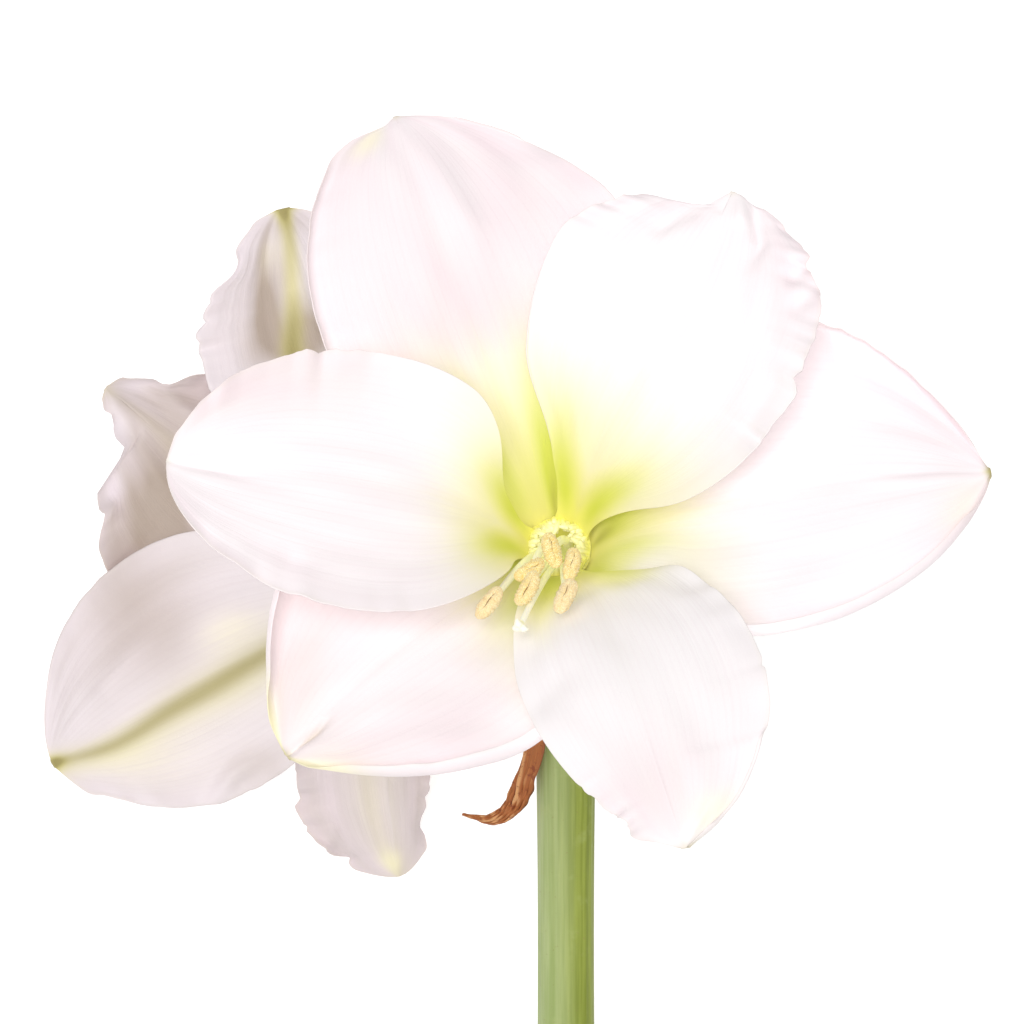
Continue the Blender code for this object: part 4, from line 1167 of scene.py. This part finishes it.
def colour(red, green, blue):
    """An sRGB colour of 0 to 255 as Blender's linear RGBA."""
    shares = (red / 255, green / 255, blue / 255)
    return [c / 12.92 if c <= 0.04045 else ((c + 0.055) / 1.055) ** 2.4 for c in shares] + [1]


class Paint:
    """A node material in the making. Each call adds nodes and returns the socket that comes out of them."""

    SOCKETS = {
        "specular": ("Specular IOR Level",),
        "flesh": ("Subsurface Weight", "Subsurface Radius", "Subsurface Scale"),
        "coat": ("Coat Weight", "Coat Roughness"),
        "sheen": ("Sheen Weight", "Sheen Roughness"),
        "glow": ("Emission Color", "Emission Strength"),
    }

    def __init__(self, name, **looks):
        self.material = bpy.data.materials.new(name)
        self.material.use_nodes = True
        self.tree = self.material.node_tree
        self.shader = self.tree.nodes["Principled BSDF"]
        for look, values in looks.items():
            self.fill(self.shader, dict(zip(self.SOCKETS[look], values)))

    def fill(self, node, inputs):
        """Each input set to its value, or joined to the socket that it's given."""
        for socket, value in inputs.items():
            if isinstance(value, bpy.types.NodeSocket):
                self.tree.links.new(value, node.inputs[socket])
            else:
                node.inputs[socket].default_value = value

    def add(self, kind, inputs, output=0, **settings):
        node = self.tree.nodes.new(kind)
        for key, value in settings.items():
            setattr(node, key, value)
        self.fill(node, inputs)
        return node.outputs[output]

    def field(self, name):
        vector = self.add("ShaderNodeAttribute", {}, "Vector", attribute_name=name)
        return tuple(self.add("ShaderNodeSeparateXYZ", {0: vector}).node.outputs)

    def maths(self, kind, first, second=0.0):
        return self.add("ShaderNodeMath", {0: first, 1: second}, operation=kind)

    def plus(self, first, second):
        return self.maths("ADD", first, second)

    def times(self, first, second):
        return self.maths("MULTIPLY", first, second)

    def noise(self, scale, detail=3, rough=0.5, where=None):
        """Noise over the part, or over the place that is given."""
        where = where or self.add("ShaderNodeTexCoord", {}, "Object")
        inputs = {"Vector": where, "Scale": scale, "Detail": detail, "Roughness": rough}
        return self.add("ShaderNodeTexNoise", inputs)

    def streaks(self, *stretched, detail=3, rough=0.5):
        """Noise over two or three fields, each stretched by its own number."""
        place = {i: self.times(field, stretch) for i, (field, stretch) in enumerate(stretched)}
        return self.noise(1.0, detail, rough, self.add("ShaderNodeCombineXYZ", place))

    def span(self, value, low, high, to_low=0.0, to_high=1.0):
        inputs = {"Value": value, "From Min": low, "From Max": high, "To Min": to_low, "To Max": to_high}
        return self.add("ShaderNodeMapRange", inputs, interpolation_type="SMOOTHSTEP")

    def mix(self, share, first, second):
        return self.add("ShaderNodeMix", {0: share, 6: first, 7: second}, 2, data_type="RGBA")

    def washed(self, base, *washes):
        """The base under washes of colour, each with its share of the mix."""
        for share, tint in washes:
            base = self.mix(share, base, colour(*tint))
        return base

    def finish(self, base, rough, *bumps):
        """The material. rough is what span takes, and each bump a height, a strength and a depth."""
        under = {}
        for height, strength, depth in bumps:
            inputs = {"Height": height, "Strength": strength, "Distance": depth, **under}
            under = {"Normal": self.add("ShaderNodeBump", inputs)}
        self.fill(self.shader, {"Base Color": base, "Roughness": self.span(*rough), **under})
        return self.material


def petal_paint(name, light, dark, line, blushed_and_shaded, dried):
    """Satin petal: silky streaks and fine cells, a blush and a beige that also paint shade, a green and
    yellow throat, and a green rib.
    """
    paint = Paint(name, specular=(0.25,), sheen=(0.06, 0.5))
    u, v, fine = paint.field("petal")
    throat, green, rim = paint.field("tint")
    blush, beige, rib = paint.field("shade")
    silk = paint.maths("SUBTRACT", paint.streaks((u, 3.0), (v, 46.0), detail=2, rough=0.6), 0.5)
    silk = paint.plus(paint.times(silk, paint.span(fine, 0.0, 1.0, 0.2, 1.0)), 0.5)
    cells = paint.noise(1700.0, 1, 0.6)
    lines = paint.maths("SINE", paint.plus(paint.times(v, math.tau * FINE_LINES), paint.times(silk, 4.0)))
    lines = paint.times(paint.span(lines, 0.3, 1.0), fine)
    streaked = paint.plus(throat, paint.times(paint.maths("SUBTRACT", silk, 0.5), 0.10))
    base = paint.washed(
        paint.mix(silk, colour(*dark), colour(*light)),
        (paint.times(lines, 0.10), line),
        # The blush and beige washes: the petal's own pink and tan, and painted shade
        (blush, blushed_and_shaded),
        (beige, dried),
        (paint.span(streaked, 0.04, 0.50), (254, 247, 210)),
        (paint.span(streaked, 0.36, 0.92), (243, 238, 156)),
        (paint.span(streaked, 0.88, 1.02, 0.0, 0.6), (250, 247, 126)),
        (paint.times(green, 0.85), (214, 222, 82)),
        (rim, (228, 220, 142)),
        # Olive of the midrib and tip, and also the painted shadow by the throat
        (rib, (164, 153, 100)),
    )
    height = paint.plus(paint.times(silk, 0.40), paint.times(cells, 0.18))
    height = paint.plus(height, paint.times(lines, 0.12))
    return paint.finish(base, (silk, 0.3, 0.8, 0.48, 0.60), (height, 0.4, 0.00035))


def green_paint(name, shaded, lit, streak):
    """Waxy stem, yellower and darker round its right, the darkening painted shade: mottled streaks along
    it, brown marks, pale pith where cut.
    """
    paint = Paint(name, flesh=(0.10, (0.9, 1.0, 0.4), 0.0018), specular=(0.36,), coat=(0.05, 0.45))
    along, around, pith = paint.field("place")
    turn = paint.times(around, math.tau)
    x = paint.maths("COSINE", turn)
    y = paint.maths("SINE", turn)
    long_streaks = paint.streaks((x, 4.0), (y, 4.0), (along, 7.0), detail=4, rough=0.6)
    fine_streaks = paint.streaks((x, 15.0), (y, 15.0), (along, 16.0), detail=4, rough=0.6)
    mottle = paint.noise(160.0, 3, 0.6)
    specks = paint.noise(900.0, 2, 0.5)
    # The right side is yellower and darker; the darkening is painted shade
    yellow = paint.span(paint.plus(x, paint.times(long_streaks, 0.6)), -0.50, 0.95)
    dark, light = (paint.mix(yellow, *(colour(*tint) for tint in pair)) for pair in (shaded, lit))
    base = paint.washed(
        paint.mix(paint.span(long_streaks, 0.32, 0.70), dark, light),
        (paint.span(fine_streaks, 0.52, 0.8, 0.0, 0.18), streak),
        (paint.span(mottle, 0.55, 0.8, 0.0, 0.25), (184, 192, 128)),
        (paint.span(specks, 0.66, 0.76, 0.0, 0.35), (140, 128, 74)),
        (pith, (226, 232, 190)),
    )
    bumps = ((fine_streaks, 0.25, 0.00025), (specks, 0.15, 0.00010))
    return paint.finish(base, (fine_streaks, 0.3, 0.8, 0.44, 0.60), *bumps)


def filament_paint():
    flesh = (0.25, (1.0, 0.9, 0.6), 0.0012)
    # The faint cream glow is painted light, standing in for light through the thin filaments and the style
    paint = Paint("filament", flesh=flesh, specular=(0.45,), glow=((1, 0.97, 0.80, 1), 0.08))
    along, around, _ = paint.field("place")
    streaks = paint.streaks((along, 9.0), (around, 11.0))
    base = paint.washed(
        paint.mix(paint.span(along, 0.0, 0.22), colour(240, 240, 132), colour(254, 252, 206)),
        (paint.span(along, 0.2, 0.7), (253, 250, 230)),
        (paint.span(streaks, 0.45, 0.8, 0.0, 0.4), (246, 241, 196)),
    )
    return paint.finish(base, (streaks, 0.3, 0.8, 0.35, 0.5), (streaks, 0.25, 0.00015))


def frill_paint():
    paint = Paint("frill", flesh=(0.25, (1.0, 0.9, 0.6), 0.0010), specular=(0.4,))
    along, _, _ = paint.field("place")
    flecks = paint.noise(700.0)
    base = paint.washed(
        paint.mix(paint.span(along, 0.02, 0.6), colour(250, 245, 140), colour(254, 249, 200)),
        (paint.span(flecks, 0.5, 0.8, 0.0, 0.3), (246, 240, 158)),
    )
    return paint.finish(base, (flecks, 0.3, 0.8, 0.4, 0.55), (flecks, 0.2, 0.00012))


def anther_paint():
    """Powdery pollen over a cream sac, browner in the groove."""
    flesh = (0.08, (1.0, 0.8, 0.4), 0.0006)
    paint = Paint("pollen", flesh=flesh, specular=(0.2,), sheen=(0.25, 0.6))
    _, groove, tone = paint.field("place")
    grains = paint.noise(3600.0, 2, 0.7)
    patches = paint.noise(620.0, 2, 0.6)
    torn = paint.times(paint.span(groove, 0.65, 1.0), paint.span(patches, 0.36, 0.58, 0.15, 1.0))
    base = paint.washed(
        paint.mix(paint.span(grains, 0.38, 0.62), colour(236, 199, 108), colour(255, 246, 190)),
        (paint.span(patches, 0.45, 0.7, 0.0, 0.5), (242, 207, 114)),
        (paint.times(tone, 0.45), (250, 228, 200)),
        (torn, (124, 82, 44)),
    )
    bumps = ((grains, 0.8, 0.00012), (patches, 0.5, 0.0003))
    return paint.finish(base, (grains, 0.3, 0.7, 0.75, 0.95), *bumps)


def bract_paint():
    """Dry paper: fibres along the blade, red-brown spots, painted light on raised folds and painted shade
    in their dips, and a darker margin.
    """
    paint = Paint("dry_bract", flesh=(0.12, (1.0, 0.5, 0.25), 0.0008), specular=(0.35,))
    along, across, raised = paint.field("place")
    fibres = paint.streaks((along, 7.0), (across, 17.0), detail=5, rough=0.65)
    spots = paint.noise(520.0, 3, 0.6)
    wide = paint.noise(140.0, 3, 0.5)
    base = paint.washed(
        paint.mix(paint.span(fibres, 0.3, 0.75), colour(154, 88, 46), colour(180, 112, 62)),
        (paint.span(wide, 0.45, 0.7, 0.0, 0.6), (170, 99, 52)),
        # Painted light on the raised wrinkles, and painted shade in their dips
        (paint.span(raised, 0.3, 1.2, 0.0, 0.85), (218, 164, 112)),
        (paint.span(raised, -1.2, -0.3, 0.9, 0.0), (98, 48, 28)),
        (paint.span(spots, 0.55, 0.66, 0.0, 0.75), (128, 60, 36)),
        (paint.span(paint.maths("ABSOLUTE", across), 0.86, 1.0, 0.0, 0.6), (128, 74, 44)),
    )
    return paint.finish(base, (fibres, 0.3, 0.8, 0.55, 0.8), (fibres, 0.6, 0.0004), (spots, 0.3, 0.0002))


def floor_paint():
    paint = Paint("studio_floor", specular=(0.15,), glow=((1, 1, 1, 1), FLOOR_GLOW))
    grain = paint.noise(60.0)
    base = paint.mix(paint.span(grain, 0.3, 0.8), colour(250, 250, 250), colour(252, 252, 252))
    return paint.finish(base, (grain, 0.3, 0.8, 0.85, 0.9), (grain, 0.02, 0.0005))


# Studio


def build_studio():
    mesh = bpy.data.meshes.new("floor")
    corners = [(x * FLOOR_REACH, y * FLOOR_REACH, 0) for x, y in ((-1, -1), (1, -1), (1, 1), (-1, 1))]
    mesh.from_pydata(corners, [], [(0, 1, 2, 3)])
    mesh.materials.append(floor_paint())
    floor = put_in_scene("floor", mesh)
    world = bpy.data.worlds.new("studio")
    world.use_nodes = True
    background = world.node_tree.nodes["Background"]
    background.inputs["Color"].default_value = (1, 1, 1, 1)
    background.inputs["Strength"].default_value = WORLD_STRENGTH
    bpy.context.scene.world = world
    key = bpy.data.lights.new("key", "AREA")
    key.size = KEY_SIZE
    key.energy = KEY_POWER
    light = put_in_scene("key", key)
    light.location = KEY_AT
    light.rotation_euler = (Vector(KEY_AIM) - Vector(KEY_AT)).to_track_quat("-Z", "Y").to_euler()
    fill = bpy.data.lights.new("fill", "SUN")
    fill.energy = FILL_STRENGTH
    fill.angle = math.radians(FILL_ANGLE)
    fill.use_shadow = False
    put_in_scene("fill", fill).rotation_euler = (PITCH, 0, 0)


def build_camera():
    data = bpy.data.cameras.new("camera")
    data.sensor_fit = "HORIZONTAL"
    data.sensor_width = SENSOR_WIDTH
    data.lens = SENSOR_WIDTH * FOCAL_PIXELS / PICTURE_PIXELS
    data.clip_start, data.clip_end = CLIP_RANGE
    camera = put_in_scene("camera", data)
    camera.location = in_row(CAMERA_AT)
    camera.rotation_euler = (PITCH, 0, 0)
    bpy.context.scene.camera = camera


def main():
    bpy.context.scene.view_settings.view_transform = "Standard"
    build_camera()
    build_studio()
    petals = {bloom: petal_paint(*looks) for bloom, looks in PETAL_LOOKS.items()}
    for seed, (name, tepal) in enumerate(TEPALS.items()):
        build_tepal(name, tepal, petals[name.split("_")[0]], seed)
    filament = filament_paint()
    anther = anther_paint()
    frill = frill_paint()
    stalk = green_paint(*STALK_LOOKS)
    for i, (name, bloom) in enumerate(BLOOMS.items()):
        build_stamens(name, bloom, filament, anther, STAMEN_SEED + i)
        build_style(name, bloom, filament)
        build_frill(name, bloom, frill, FRILL_SEED + i)
        build_pedicel(name, bloom, stalk, PEDICEL_SEED + i)
    build_scape(green_paint(*SCAPE_LOOKS), SCAPE_SEED)
    dry = bract_paint()
    for i, (name, bract) in enumerate(BRACTS.items()):
        build_bract(name, bract, dry, BRACT_SEED + i)


main()
